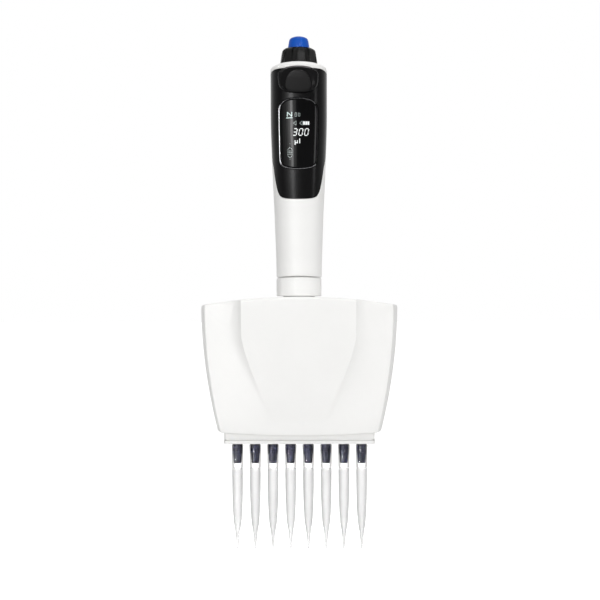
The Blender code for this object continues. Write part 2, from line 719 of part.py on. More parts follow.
def make_display():
    low, high = DISPLAY_BOTTOM - 2 * DISPLAY_DOME, DISPLAY_TOP + 2 * DISPLAY_DOME
    window = handle_skin("display_window", 0.0, WINDOW_THICKNESS, low, high, black_glass())
    combine(window, "INTERSECT", front_prism("window_region", display_outline()))
    trim = handle_skin("display_trim_ring", -TRIM_PROUD, HANDLE_WALL, low, high, bright_trim())
    outer = display_outline(SLIDE_GAP + TRIM_WIDTH)
    combine(trim, "INTERSECT", front_prism("trim_region", outer))
    combine(trim, "DIFFERENCE", front_prism("trim_cut", display_outline(SLIDE_GAP)))
    front = DISPLAY_MODULE_FRONT
    back = front - DISPLAY_MODULE_THICKNESS
    middle = (DISPLAY_TOP + DISPLAY_BOTTOM) / 2
    half = DISPLAY_MODULE_HALF_WIDTH
    rise = DISPLAY_MODULE_HEIGHT / 2
    block("display_module", (-half, -front, middle - rise), (half, -back, middle + rise), steel())
    face = back - SEAT_GAP
    top = STEM_BOTTOM - EJECT_TRAVEL - STOP_GAP
    half = BOARD_HALF_WIDTH
    low = (-half, -face, top - BOARD_HEIGHT)
    block("main_board", low, (half, BOARD_THICKNESS - face, top), board_green())


def make_battery():
    front = MOTOR_RADIUS + BATTERY_FROM_MOTOR
    block(
        "battery_cell",
        (-BATTERY_HALF_WIDTH, front, BATTERY_TOP - BATTERY_HEIGHT),
        (BATTERY_HALF_WIDTH, front + BATTERY_THICKNESS, BATTERY_TOP),
        grey_plastic(),
    )


def make_charging_socket():
    bottom = SOCKET_TOP - SOCKET_HEIGHT
    mouth = handle_sizes(SOCKET_TOP)[2] - 2 * SEAT_GAP
    half = SOCKET_HALF_WIDTH
    low = (-half, mouth - SOCKET_DEPTH, bottom)
    socket = block("charging_socket", low, (half, mouth, SOCKET_TOP), steel())
    inner = half - SOCKET_WALL
    low = (-inner, mouth - SOCKET_DEPTH + 2 * SOCKET_WALL, bottom + SOCKET_WALL)
    high = (inner, CUT_REACH, SOCKET_TOP - SOCKET_WALL)
    return combine(socket, "DIFFERENCE", block("socket_pocket", low, high, None))


def make_finger_hook():
    seat_start = HOOK_SEAT_DISTANCE - HOOK_SEAT_LENGTH / 2
    seat_end = HOOK_SEAT_DISTANCE + HOOK_SEAT_LENGTH / 2
    root = handle_sizes(HOOK_SEAT)[2] - 3 * MM
    inner = seat_end + 3 * MM
    outer = [
        (root, HOOK_SEAT + HOOK_ARM + 1.5 * MM),
        (seat_start, HOOK_SEAT + HOOK_ARM + 0.8 * MM),
        (seat_end, HOOK_SEAT + HOOK_ARM - 1.0 * MM),
        (HOOK_REACH - 1.5 * MM, HOOK_SEAT + 0.5 * MM),
        (HOOK_REACH, HOOK_SEAT - HOOK_LIP + 3.0 * MM),
    ]
    tip = [
        (HOOK_REACH - 0.8 * MM, HOOK_SEAT - HOOK_LIP),
        (HOOK_REACH - HOOK_LIP_THICKNESS + 1.2 * MM, HOOK_SEAT - HOOK_LIP),
        (inner + 0.3 * MM, HOOK_SEAT - HOOK_LIP + 2.5 * MM),
        (inner - 0.4 * MM, HOOK_SEAT - 3.0 * MM),
    ]
    under = [(seat_end, HOOK_SEAT), (seat_start, HOOK_SEAT), (root, HOOK_SEAT - 4.0 * MM)]
    outline = curve_through(outer, 3) + tip + under
    hook = plate("finger_hook", outline, "X", -HOOK_HALF_WIDTH, HOOK_HALF_WIDTH, white_plastic())
    bevel = hook.modifiers.new("edges", "BEVEL")
    bevel.width = HOOK_EDGE_RADIUS
    bevel.segments = 2
    bevel.angle_limit = math.radians(60)
    return combine(hook, "DIFFERENCE", handle_solid("hook_cut", -SEAT_GAP))


def key_arch(half_width, grow=0.0):
    """The eject key's outline seen from the front, as (x, z)."""
    right = [
        (0.0, KEY_BOTTOM),
        (half_width * 0.45, KEY_BOTTOM + 0.4 * MM),
        (half_width * 0.79, KEY_BOTTOM + 1.8 * MM),
        (half_width * 0.95, KEY_BOTTOM + 4.2 * MM),
        (half_width, KEY_BOTTOM + 7.0 * MM),
        (half_width * 0.98, KEY_TOP - 3.2 * MM),
        (half_width * 0.68, KEY_TOP - 1.0 * MM),
        (0.0, KEY_TOP),
    ]
    edge = curve_through(right, 2)
    return grown(edge + [(-x, z) for x, z in reversed(edge[1:-1])], grow)


def make_eject_key():
    rear = 12 * MM
    dip = KEY_TOP - KEY_THUMB_DIP
    front = [
        (-rear, KEY_TOP),
        (-KEY_FOOT_REACH, dip),
        (-KEY_REACH + 1.2 * MM, KEY_TOP - 0.3 * MM),
        (-KEY_REACH, KEY_TOP - 1.4 * MM),
        (-KEY_REACH + 0.5 * MM, KEY_TOP - 5.0 * MM),
        (-KEY_FOOT_REACH - 2.2 * MM, KEY_BOTTOM + 4.5 * MM),
        (-KEY_FOOT_REACH - 0.6 * MM, KEY_BOTTOM + 1.0 * MM),
        (-KEY_FOOT_REACH + 0.6 * MM, KEY_BOTTOM - 0.5 * MM),
    ]
    outline = curve_through(front, 2) + [(-rear, KEY_BOTTOM - 0.5 * MM)]
    key = plate("eject_key", outline, "X", -CUT_REACH, CUT_REACH, black_plastic())
    arch = front_prism("key_arch", key_arch(KEY_HALF_WIDTH))
    combine(key, "INTERSECT", arch)
    combine(key, "DIFFERENCE", handle_solid("key_back_cut", -SLIDE_GAP))
    half = KEY_STEM_HALF_WIDTH
    low = (-half, -KEY_FOOT_REACH + MM, STEM_BOTTOM)
    stem = block("key_stem", low, (half, -PUSH_ROD_FRONT - SEAT_GAP, STEM_TOP), None)
    return combine(key, "UNION", stem)


def make_eject_push_rod():
    """A strip down the front of the handle, with a ring at its foot round the drive."""
    half, front, back = PUSH_ROD_HALF_WIDTH, -PUSH_ROD_FRONT, -PUSH_ROD_BACK
    arm_bottom = PUSH_RING_TOP - PUSH_ARM_HEIGHT
    rod = block("eject_push_rod", (-half, front, arm_bottom), (half, back, STEM_TOP), steel())
    inner_edge = -PUSH_RING_RADIUS + 0.6 * MM
    arm_low = (-half + 0.3 * MM, front + 0.4 * MM, arm_bottom + 0.1 * MM)
    arm_high = (half - 0.3 * MM, inner_edge, PUSH_RING_TOP - 0.1 * MM)
    combine(rod, "UNION", block("push_arm", arm_low, arm_high, None))
    ring = [
        (SLEEVE_BORE_RADIUS, PUSH_RING_BOTTOM),
        (PUSH_RING_RADIUS, PUSH_RING_BOTTOM),
        (PUSH_RING_RADIUS, PUSH_RING_TOP),
        (SLEEVE_BORE_RADIUS, PUSH_RING_TOP),
    ]
    combine(rod, "UNION", turned("push_ring", ring, SHAFT_SIDES, None))
    tab_bottom = FRAME_FOOT_TOP + 2 * SEAT_GAP + EJECT_SPRING_LENGTH
    reach = EJECT_SPRING_DISTANCE - EJECT_SPRING_RADIUS - EJECT_SPRING_WIRE
    tab_low = (-half + 0.6 * MM, front + 0.4 * MM, tab_bottom)
    tab_high = (half - 0.6 * MM, -reach, tab_bottom + EJECT_TAB_HEIGHT)
    combine(rod, "UNION", block("spring_tab", tab_low, tab_high, None))
    coil(
        "eject_spring",
        EJECT_SPRING_RADIUS,
        EJECT_SPRING_WIRE,
        6,
        FRAME_FOOT_TOP + SEAT_GAP,
        FRAME_FOOT_TOP + SEAT_GAP + EJECT_SPRING_LENGTH,
        steel(),
        distance=EJECT_SPRING_DISTANCE,
    )


def make_knob():
    """The ribbed mode ring round the button, with a stem down to its encoder."""
    sides = 5 * KNOB_FLUTES
    slope = (KNOB_RADIUS - KNOB_TOP_RADIUS) / KNOB_HEIGHT

    def fluted(radius, height, depth):
        ring = []
        for i in range(sides):
            turn = 2 * math.pi * i / sides
            here = radius - depth * (0.5 - 0.5 * math.cos(KNOB_FLUTES * turn)) ** 2
            ring.append((here * math.cos(turn), here * math.sin(turn), height))
        return ring

    low, high = KNOB_BOTTOM, KNOB_TOP
    shoulder = high - 1.6 * MM
    flute = KNOB_FLUTE_DEPTH
    rings = [
        fluted(KNOB_RADIUS, low, flute),
        fluted(KNOB_RADIUS - slope * 2 * MM, low + 2 * MM, flute),
        fluted(KNOB_RADIUS - slope * (shoulder - low), shoulder, flute),
        fluted(KNOB_TOP_RADIUS - 0.5 * MM, high - 0.5 * MM, flute),
        fluted(KNOB_TOP_RADIUS - 1.4 * MM, high, 0.3 * flute),
        circle(KNOB_BORE_RADIUS, high, sides),
        circle(KNOB_BORE_RADIUS, ENCODER_TOP + SEAT_GAP, sides),
        circle(KNOB_STEM_RADIUS, ENCODER_TOP + SEAT_GAP, sides),
        circle(KNOB_STEM_RADIUS, low, sides),
    ]
    lofted("mode_knob", rings, black_plastic(), closed=True)
    low = ENCODER_TOP - ENCODER_HEIGHT
    profile = [(0.0, low), (ENCODER_RADIUS, low), (ENCODER_RADIUS, ENCODER_TOP), (0.0, ENCODER_TOP)]
    turned("rotary_encoder", profile, SHAFT_SIDES, grey_plastic())


def make_button():
    """The dispense button: a cap that slides in the knob, on a stem over the switch."""
    top = BUTTON_TOP
    skirt = KNOB_TOP - BUTTON_SKIRT
    ceiling = top - 1.6 * MM
    stem_end = ENCODER_TOP + BUTTON_TRAVEL + STOP_GAP
    profile = [
        (0.0, stem_end),
        (BUTTON_STEM_RADIUS, stem_end),
        (BUTTON_STEM_RADIUS, ceiling),
        (BUTTON_RADIUS - BUTTON_WALL - 0.8 * MM, ceiling),
        (BUTTON_RADIUS - BUTTON_WALL, KNOB_TOP),
        (BUTTON_RADIUS - BUTTON_WALL, skirt),
        (BUTTON_RADIUS, skirt),
        (BUTTON_RADIUS, KNOB_TOP - 0.2 * MM),
        (BUTTON_TOP_RADIUS + 0.35 * MM, top - 1.7 * MM),
        (BUTTON_TOP_RADIUS - 0.1 * MM, top - 0.6 * MM),
        (BUTTON_TOP_RADIUS - 0.9 * MM, top - 0.1 * MM),
        (BUTTON_TOP_RADIUS - 1.9 * MM, top),
        (0.0, top - 0.15 * MM),
    ]
    turned("dispense_button", profile, ROUND_SIDES, blue_plastic())
    coil(
        "button_spring",
        BUTTON_SPRING_RADIUS,
        BUTTON_SPRING_WIRE,
        5,
        ENCODER_TOP + SEAT_GAP,
        ceiling - SEAT_GAP,
        steel(),
    )


def make_drive():
    """The motor on its frame, the lead screw, and the nut in the hollow plunger."""
    motor = [
        (0.0, MOTOR_BOTTOM),
        (MOTOR_RADIUS, MOTOR_BOTTOM),
        (MOTOR_RADIUS, MOTOR_TOP - MOTOR_BOSS_HEIGHT),
        (MOTOR_BOSS_RADIUS, MOTOR_TOP - MOTOR_BOSS_HEIGHT),
        (MOTOR_BOSS_RADIUS, MOTOR_TOP),
        (0.0, MOTOR_TOP),
    ]
    turned("stepper_motor", motor, ROUND_SIDES, steel())

    frame = turned(
        "drive_frame",
        [
            (PLUNGER_TUBE_RADIUS + 3 * SLIDE_GAP, FRAME_BOTTOM),
            (FRAME_FOOT_RADIUS, FRAME_BOTTOM),
            (FRAME_FOOT_RADIUS, FRAME_FOOT_TOP),
            (PLUNGER_TUBE_RADIUS + 3 * SLIDE_GAP, FRAME_FOOT_TOP),
        ],
        ROUND_SIDES,
        grey_plastic(),
    )
    head = [
        (LEAD_SCREW_JOURNAL_RADIUS + SLIDE_GAP, FRAME_HEAD_BOTTOM),
        (MOTOR_RADIUS, FRAME_HEAD_BOTTOM),
        (MOTOR_RADIUS, FRAME_TOP),
        (LEAD_SCREW_JOURNAL_RADIUS + SLIDE_GAP, FRAME_TOP),
    ]
    rail = PLUNGER_HEAD_HALF_WIDTH + SEAT_GAP
    for side in (-1, 1):
        edges = sorted((side * rail, side * (rail + FRAME_RAIL)))
        low = (edges[0], -FRAME_RAIL_DEPTH / 2, FRAME_BOTTOM + OVERLAP)
        high = (edges[1], FRAME_RAIL_DEPTH / 2, FRAME_TOP - OVERLAP)
        combine(frame, "UNION", block(f"rail_{side}", low, high, None))
    combine(frame, "UNION", turned("frame_head", head, ROUND_SIDES, None))
    half = PUSH_ROD_HALF_WIDTH + SEAT_GAP
    low = (-half, -CUT_REACH, FRAME_BOTTOM - OVERLAP)
    notch = block("rod_notch", low, (half, -PUSH_ROD_BACK + SEAT_GAP, FRAME_FOOT_TOP + OVERLAP), None)
    combine(frame, "DIFFERENCE", notch)

    screw = [
        (0.0, LEAD_SCREW_BOTTOM),
        (LEAD_SCREW_RADIUS, LEAD_SCREW_BOTTOM),
        (LEAD_SCREW_RADIUS, FRAME_HEAD_BOTTOM - STOP_GAP),
        (LEAD_SCREW_JOURNAL_RADIUS, FRAME_HEAD_BOTTOM - STOP_GAP),
        (LEAD_SCREW_JOURNAL_RADIUS, FRAME_TOP),
        (0.0, FRAME_TOP),
    ]
    turned("lead_screw", screw, SHAFT_SIDES, steel())

    screw_room = LEAD_SCREW_RADIUS + SLIDE_GAP
    pocket_bottom = PLUNGER_HEAD_TOP - NUT_HEIGHT - SEAT_GAP
    half, depth = PLUNGER_HEAD_HALF_WIDTH, PLUNGER_HEAD_DEPTH / 2
    low = (-half, -depth, PLUNGER_HEAD_BOTTOM)
    plunger = block("drive_plunger", low, (half, depth, PLUNGER_HEAD_TOP), grey_plastic())
    ball_bottom = CUP_BOTTOM + CUP_HEIGHT - CUP_LIP - BALL_HEIGHT - SEAT_GAP
    tube = [
        (0.0, ball_bottom),
        (BALL_RADIUS, ball_bottom),
        (BALL_RADIUS, ball_bottom + BALL_HEIGHT),
        (BALL_NECK_RADIUS, ball_bottom + BALL_HEIGHT),
        (BALL_NECK_RADIUS, PLUNGER_BOTTOM),
        (PLUNGER_TUBE_RADIUS, PLUNGER_BOTTOM),
        (PLUNGER_TUBE_RADIUS, PLUNGER_HEAD_BOTTOM + MM),
        (0.0, PLUNGER_HEAD_BOTTOM + MM),
    ]
    combine(plunger, "UNION", turned("plunger_tube", tube, SHAFT_SIDES, None))
    bore = rods(
        "plunger_bore",
        [(0.0, 0.0)],
        screw_room,
        "Z",
        PLUNGER_BOTTOM + PLUNGER_END,
        PLUNGER_HEAD_TOP + MM,
        SHAFT_SIDES,
    )
    combine(plunger, "DIFFERENCE", bore)
    pocket = rods(
        "nut_pocket",
        [(0.0, 0.0)],
        NUT_RADIUS + SEAT_GAP,
        "Z",
        pocket_bottom,
        PLUNGER_HEAD_TOP + MM,
        SHAFT_SIDES,
    )
    combine(plunger, "DIFFERENCE", pocket)
    nut = [
        (screw_room, pocket_bottom + SEAT_GAP),
        (NUT_RADIUS, pocket_bottom + SEAT_GAP),
        (NUT_RADIUS, PLUNGER_HEAD_TOP),
        (screw_room, PLUNGER_HEAD_TOP),
    ]
    turned("drive_nut", nut, SHAFT_SIDES, brass())


def make_lock_ring():
    """The ring under the handle that locks the manifold where it is turned to."""
    low, high = LOCK_RING_BOTTOM, LOCK_RING_TOP
    bore = NECK_RADIUS + SLIDE_GAP
    edge = LOCK_RING_EDGE
    profile = [
        (bore, low),
        (LOCK_RING_RADIUS - edge, low),
        (LOCK_RING_RADIUS, low + edge),
        (LOCK_RING_RADIUS, high - edge),
        (LOCK_RING_RADIUS - edge, high),
        (bore, high),
    ]
    turned("lock_ring", profile, ROUND_SIDES, white_plastic())


def make_swivel_neck():
    """The hollow shaft that carries the manifold: its flange hangs in the handle's floor."""
    drop = TOP_ARCH * (NECK_PLATE_RADIUS / MANIFOLD_HALF_WIDTH) ** 2
    plate_top = MANIFOLD_TOP - drop - COVER_WALL - SEAT_GAP
    plate_bottom = plate_top - NECK_PLATE_HEIGHT
    lip = SLEEVE_RADIUS + SLIDE_GAP
    profile = [
        (lip, plate_bottom),
        (NECK_PLATE_RADIUS, plate_bottom),
        (NECK_PLATE_RADIUS, plate_top),
        (NECK_RADIUS, plate_top),
        (NECK_RADIUS, NECK_FLANGE_BOTTOM),
        (NECK_FLANGE_RADIUS, NECK_FLANGE_BOTTOM),
        (NECK_FLANGE_RADIUS, NECK_TOP),
        (NECK_BORE_RADIUS, NECK_TOP),
        (NECK_BORE_RADIUS, plate_top),
        (lip, plate_top),
    ]
    turned("swivel_neck", profile, ROUND_SIDES, white_plastic())
    coil(
        "ejector_spring",
        (SLEEVE_RADIUS + NECK_BORE_RADIUS) / 2,
        EJECTOR_SPRING_WIRE,
        6,
        plate_top + SEAT_GAP,
        SLEEVE_TOP - SLEEVE_FLANGE_HEIGHT - SEAT_GAP,
        steel(),
    )


def manifold_half_width(height):
    """Half the manifold's width: straight at the top, drawn in towards the foot."""
    share = (MANIFOLD_TOP - height) / (MANIFOLD_TOP - MANIFOLD_BOTTOM)
    return MANIFOLD_HALF_WIDTH - MANIFOLD_SIDE_TAPER * max(share, 0.0) ** 1.8


def boss_half_width(height):
    """Half the width of the raised middle: straight, then drawn in towards the foot."""
    below = MANIFOLD_TOP - BOSS_STRAIGHT - height
    share = max(below / (MANIFOLD_TOP - BOSS_STRAIGHT - MANIFOLD_BOTTOM), 0.0)
    return BOSS_HALF_WIDTH * (1 - BOSS_TAPER * share**1.3)


def cover_depth(x, height):
    """How far a cover's face stands from the seam, at a place on it."""
    share = (height - MANIFOLD_BOTTOM) / (MANIFOLD_TOP - MANIFOLD_BOTTOM)
    wing = COVER_BOTTOM_DEPTH + (COVER_TOP_DEPTH - COVER_BOTTOM_DEPTH) * share
    end = MANIFOLD_BOTTOM + BOSS_END_HEIGHT
    rise = BOSS_DEPTH * max((height - end) / (MANIFOLD_TOP - end), 0.0) ** 0.8
    beyond = max(abs(x) - boss_half_width(height), 0.0)
    crown = FACE_CROWN * (1 - (x / MANIFOLD_HALF_WIDTH) ** 2)
    return wing + crown + rise * math.exp(-beyond / BOSS_RAMP)


def cover_row(share, wall, chamfer):
    """One row of a cover's surface, from the left seam over the face to the right seam."""
    height = MANIFOLD_BOTTOM + share * (MANIFOLD_TOP - MANIFOLD_BOTTOM)
    full = manifold_half_width(height)
    half = full - wall - chamfer
    radius = SIDE_RADIUS - wall
    edge = half - radius
    boss = boss_half_width(height) * half / full
    across = [0.0, 0.5 * boss, boss]
    across += [boss + (edge - boss) * part for part in (0.15, 0.4, 1.0)]
    right = [(x, cover_depth(x, height) - wall - chamfer) for x in across]
    face = right[-1][1]
    for turn in (math.radians(30), math.radians(60), math.radians(90)):
        right.append((edge + radius * math.sin(turn), face - radius * (1 - math.cos(turn))))
    right.append((half, SEAT_GAP / 2))
    left = [(-x, depth) for x, depth in reversed(right[1:])]
    row = []
    for x, depth in left + right:
        spread = (x / MANIFOLD_HALF_WIDTH) ** 2
        low = MANIFOLD_BOTTOM + BOTTOM_ARCH * spread
        high = MANIFOLD_TOP - TOP_ARCH * spread - wall
        row.append((x, depth, low + share * (high - low)))
    return row


def cover_shell(name, side, finish):
    """One manifold cover: an outer and an inner skin, joined at the seam and the foot."""
    shares = [0.0, 0.012, 0.16, 0.32, 0.48, 0.64, 0.82, 0.99, 1.0]
    bm = bmesh.new()
    skins = []
    for wall in (0.0, COVER_WALL):
        rows = []
        for i, share in enumerate(shares):
            chamfer = EDGE_CHAMFER if i in (0, len(shares) - 1) and not wall else 0.0
            points = cover_row(share, wall, chamfer)
            rows.append([bm.verts.new((x, side * y, z)) for x, y, z in points])
        top = rows[-1]
        lid = [top[0]]
        lid += [bm.verts.new((v.co.x, side * SEAT_GAP / 2, v.co.z)) for v in top[1:-1]]
        lid.append(top[-1])
        for lower, upper in zip(rows, rows[1:] + [lid]):
            for i in range(len(lower) - 1):
                corners = [lower[i], lower[i + 1], upper[i + 1], upper[i]]
                bm.faces.new(list(dict.fromkeys(corners)))
        rim = [row[0] for row in rows[:-1]] + lid + [row[-1] for row in reversed(rows[:-1])]
        skins.append((rows[0], rim))
    (foot, rim), (inner_foot, inner_rim) = skins
    for outer, inner in ((foot, inner_foot), (rim, inner_rim)):
        for i in range(len(outer) - 1):
            bm.faces.new((outer[i], outer[i + 1], inner[i + 1], inner[i]))
    bmesh.ops.triangulate(bm, faces=bm.faces)
    return finished(name, bm, finish)


def screw_places():
    height = MANIFOLD_TOP - COVER_SCREW_BELOW_TOP
    return [(side * COVER_SCREW_SIDE, height) for side in (-1, 1)]


def make_manifold_covers():
    places = screw_places()
    depth = cover_depth(*places[0])
    hole = SCREW_RADIUS + SLIDE_GAP
    for name, side in (("manifold_front_cover", -1), ("manifold_rear_cover", 1)):
        cover = cover_shell(name, side, white_plastic())
        ends = sorted((side * 0.5 * SEAT_GAP, side * (depth - COVER_WALL / 2)))
        boss = rods(f"{name}_bosses", places, SCREW_BOSS_RADIUS, "Y", *ends, SHAFT_SIDES)
        combine(cover, "UNION", boss)
        reach = CUT_REACH if side > 0 else depth - COVER_WALL - STOP_GAP
        ends = sorted((-side * MM, side * reach))
        drill = rods(f"{name}_drill", places, hole, "Y", *ends, DRILL_SIDES)
        combine(cover, "DIFFERENCE", drill)
        neck = rods(
            f"{name}_neck_cut",
            [(0.0, 0.0)],
            NECK_RADIUS + SLIDE_GAP,
            "Z",
            MANIFOLD_TOP - 2 * COVER_WALL,
            MANIFOLD_TOP + 2 * COVER_WALL,
            ROUND_SIDES,
        )
        combine(cover, "DIFFERENCE", neck)
        if side > 0:
            head_seat = depth - SCREW_HEAD_HEIGHT - SEAT_GAP
            recess = rods(
                "screw_recess",
                places,
                SCREW_HEAD_RADIUS + SEAT_GAP,
                "Y",
                head_seat,
                CUT_REACH,
                SHAFT_SIDES,
            )
            combine(cover, "DIFFERENCE", recess)


def make_cover_screws():
    """Two pan-head screws, put in from the back."""
    depth = cover_depth(*screw_places()[0])
    seat = depth - SCREW_HEAD_HEIGHT
    reach = -0.6 * depth
    for name, (x, height) in zip(("cover_screw_left", "cover_screw_right"), screw_places()):
        profile = [
            (0.0, reach),
            (SCREW_RADIUS, reach),
            (SCREW_RADIUS, seat),
            (SCREW_HEAD_RADIUS, seat),
            (SCREW_HEAD_RADIUS, depth - 0.3 * MM),
            (SCREW_HEAD_RADIUS - 0.5 * MM, depth),
            (0.0, depth),
        ]
        screw = turned(name, profile, DRILL_SIDES, steel())
        screw.location = (x, 0.0, height)
        screw.rotation_euler = (math.radians(-90), 0.0, 0.0)


def make_cylinder_block():
    half = CYLINDER_BLOCK_HALF_LENGTH
    depth = cover_depth(half, BLOCK_BOTTOM) - COVER_WALL - SEAT_GAP
    low, high = (-half, -depth, BLOCK_BOTTOM), (half, depth, BLOCK_TOP)
    centres = [(x, 0.0) for x in CHANNEL_XS]
    cylinders = block("cylinder_block", low, high, clear_plastic())
    ends = (BLOCK_BOTTOM - MM, BLOCK_TOP + MM)
    bores = rods("cylinder_bores", centres, PISTON_BORE_RADIUS, "Z", *ends, PISTON_SIDES)
    combine(cylinders, "DIFFERENCE", bores)
    low = (-half, -SEAL_STRIP_DEPTH / 2, SEAL_BOTTOM)
    strip = block("seal_strip", low, (half, SEAL_STRIP_DEPTH / 2, SEAL_TOP), silicone())
    ends = (SEAL_BOTTOM - MM, SEAL_TOP + MM)
    holes = rods("seal_holes", centres, PISTON_BORE_RADIUS, "Z", *ends, PISTON_SIDES)
    combine(strip, "DIFFERENCE", holes)


def make_pistons():
    """The bar that lifts all the pistons, and its link up through the neck."""
    half = CYLINDER_BLOCK_HALF_LENGTH - STOP_GAP
    depth = PISTON_BAR_DEPTH / 2
    hole = PISTON_NECK_RADIUS + SEAT_GAP
    low, high = (-half, -depth, PISTON_BAR_BOTTOM), (half, depth, PISTON_BAR_TOP)
    bar = block("piston_bar", low, high, aluminium())
    centres = [(x, 0.0) for x in [*CHANNEL_XS, 0.0]]
    ends = (PISTON_BAR_BOTTOM - MM, PISTON_BAR_TOP + MM)
    combine(bar, "DIFFERENCE", rods("bar_holes", centres, hole, "Z", *ends, PISTON_SIDES))
    profile = [
        (0.0, PISTON_BOTTOM),
        (PISTON_RADIUS, PISTON_BOTTOM),
        (PISTON_RADIUS, PISTON_BAR_BOTTOM - SEAT_GAP),
        (PISTON_NECK_RADIUS, PISTON_BAR_BOTTOM - SEAT_GAP),
        (PISTON_NECK_RADIUS, PISTON_HEAD_BOTTOM),
        (PISTON_HEAD_RADIUS, PISTON_HEAD_BOTTOM),
        (PISTON_HEAD_RADIUS, PISTON_HEAD_TOP),
        (0.0, PISTON_HEAD_TOP),
    ]
    for i, x in enumerate(CHANNEL_XS):
        piston = turned(f"piston_{i + 1}", profile, PISTON_SIDES, steel())
        piston.location.x = x
    cavity = CUP_RADIUS - CUP_WALL
    mouth = BALL_NECK_RADIUS + SEAT_GAP
    cavity_top = CUP_TOP - CUP_LIP
    cavity_bottom = cavity_top - BALL_HEIGHT - 2 * SEAT_GAP
    link = [
        (0.0, PISTON_BAR_BOTTOM + STOP_GAP),
        (PISTON_NECK_RADIUS, PISTON_BAR_BOTTOM + STOP_GAP),
        (PISTON_NECK_RADIUS, PISTON_BAR_TOP + SEAT_GAP),
        (LINK_RADIUS, PISTON_BAR_TOP + SEAT_GAP),
        (LINK_RADIUS, CUP_BOTTOM),
        (CUP_RADIUS, CUP_BOTTOM),
        (CUP_RADIUS, CUP_TOP),
        (mouth, CUP_TOP),
        (mouth, cavity_top),
        (cavity, cavity_top),
        (cavity, cavity_bottom),
        (0.0, cavity_bottom),
    ]
    turned("piston_link", link, SHAFT_SIDES, steel())


def make_ejector():
    """The yoke with its sleeve and legs, and the bar that pushes the tips off."""
    leg_outer = EJECTOR_BAR_HALF_LENGTH
    leg_inner = leg_outer - EJECTOR_LEG
    foot = BAR_TOP + SEAT_GAP
    outline = [
        (-leg_outer, foot),
        (-leg_inner, foot),
        (-leg_inner, YOKE_BOTTOM),
        (leg_inner, YOKE_BOTTOM),
        (leg_inner, foot),
        (leg_outer, foot),
        (leg_outer, YOKE_TOP),
        (-leg_outer, YOKE_TOP),
    ]
    depth = EJECTOR_LEG_DEPTH / 2
    yoke = plate("ejector_yoke", outline, "Y", -depth, depth, aluminium())
    sleeve = [
        (SLEEVE_BORE_RADIUS, YOKE_BOTTOM + MM),
        (SLEEVE_RADIUS, YOKE_BOTTOM + MM),
        (SLEEVE_RADIUS, SLEEVE_TOP - SLEEVE_FLANGE_HEIGHT),
        (SLEEVE_FLANGE_RADIUS, SLEEVE_TOP - SLEEVE_FLANGE_HEIGHT),
        (SLEEVE_FLANGE_RADIUS, SLEEVE_TOP),
        (SLEEVE_BORE_RADIUS, SLEEVE_TOP),
    ]
    combine(yoke, "UNION", turned("sleeve", sleeve, SHAFT_SIDES, None))
    ends = (YOKE_BOTTOM - MM, YOKE_TOP + MM)
    bore = rods("yoke_bore", [(0.0, 0.0)], SLEEVE_BORE_RADIUS - 0.2 * MM, "Z", *ends, SHAFT_SIDES)
    combine(yoke, "DIFFERENCE", bore)

    depth = cover_depth(leg_outer, MANIFOLD_BOTTOM) - COVER_WALL - STOP_GAP
    lip_top = BAR_BOTTOM + EJECTOR_LIP_HEIGHT
    side = [
        (depth, BAR_TOP),
        (depth, lip_top),
        (depth + EJECTOR_LIP, lip_top - EJECTOR_LIP),
        (depth + EJECTOR_LIP, BAR_BOTTOM + 0.5 * MM),
        (depth - 0.2 * MM, BAR_BOTTOM),
    ]
    outline = side + [(-y, z) for y, z in reversed(side)]
    bar = plate("ejector_bar", outline, "X", -leg_outer, leg_outer, white_plastic())
    centres = [(x, 0.0) for x in CHANNEL_XS]
    ends = (BAR_BOTTOM - MM, BAR_TOP + MM)
    holes = rods("bar_nozzle_holes", centres, NOZZLE_HOLE_RADIUS + 0.1 * MM, "Z", *ends, DRILL_SIDES)
    combine(bar, "DIFFERENCE", holes)


def make_nozzles():
    """Eight nozzles, each with a flange under the cylinders and two sealing beads."""
    bead = SEAL_BEAD_HEIGHT
    slope = (NOZZLE_RADIUS - NOZZLE_END_RADIUS) / NOZZLE_IN_TIP
    lower = NOZZLE_END + 5.2 * MM
    under = NOZZLE_END_RADIUS + slope * 5.2 * MM
    profile = [
        (NOZZLE_BORE_RADIUS, NOZZLE_END),
        (NOZZLE_END_RADIUS - 0.25 * MM, NOZZLE_END),
        (NOZZLE_END_RADIUS, NOZZLE_END + 0.5 * MM),
        (under, lower),
        (under + 0.2 * MM, lower + bead / 2),
        (under + 0.04 * MM, lower + bead),
        (NOZZLE_RADIUS, TIP_LENGTH),
        (NOZZLE_RADIUS, NOZZLE_FLANGE_BOTTOM),
        (NOZZLE_FLANGE_RADIUS, NOZZLE_FLANGE_BOTTOM),
        (NOZZLE_FLANGE_RADIUS, NOZZLE_TOP),
        (NOZZLE_BORE_RADIUS, NOZZLE_TOP),
    ]
    for i, x in enumerate(CHANNEL_XS):
        nozzle = turned(f"nozzle_{i + 1}", profile, NOZZLE_SIDES, dark_polymer())
        nozzle.location.x = x


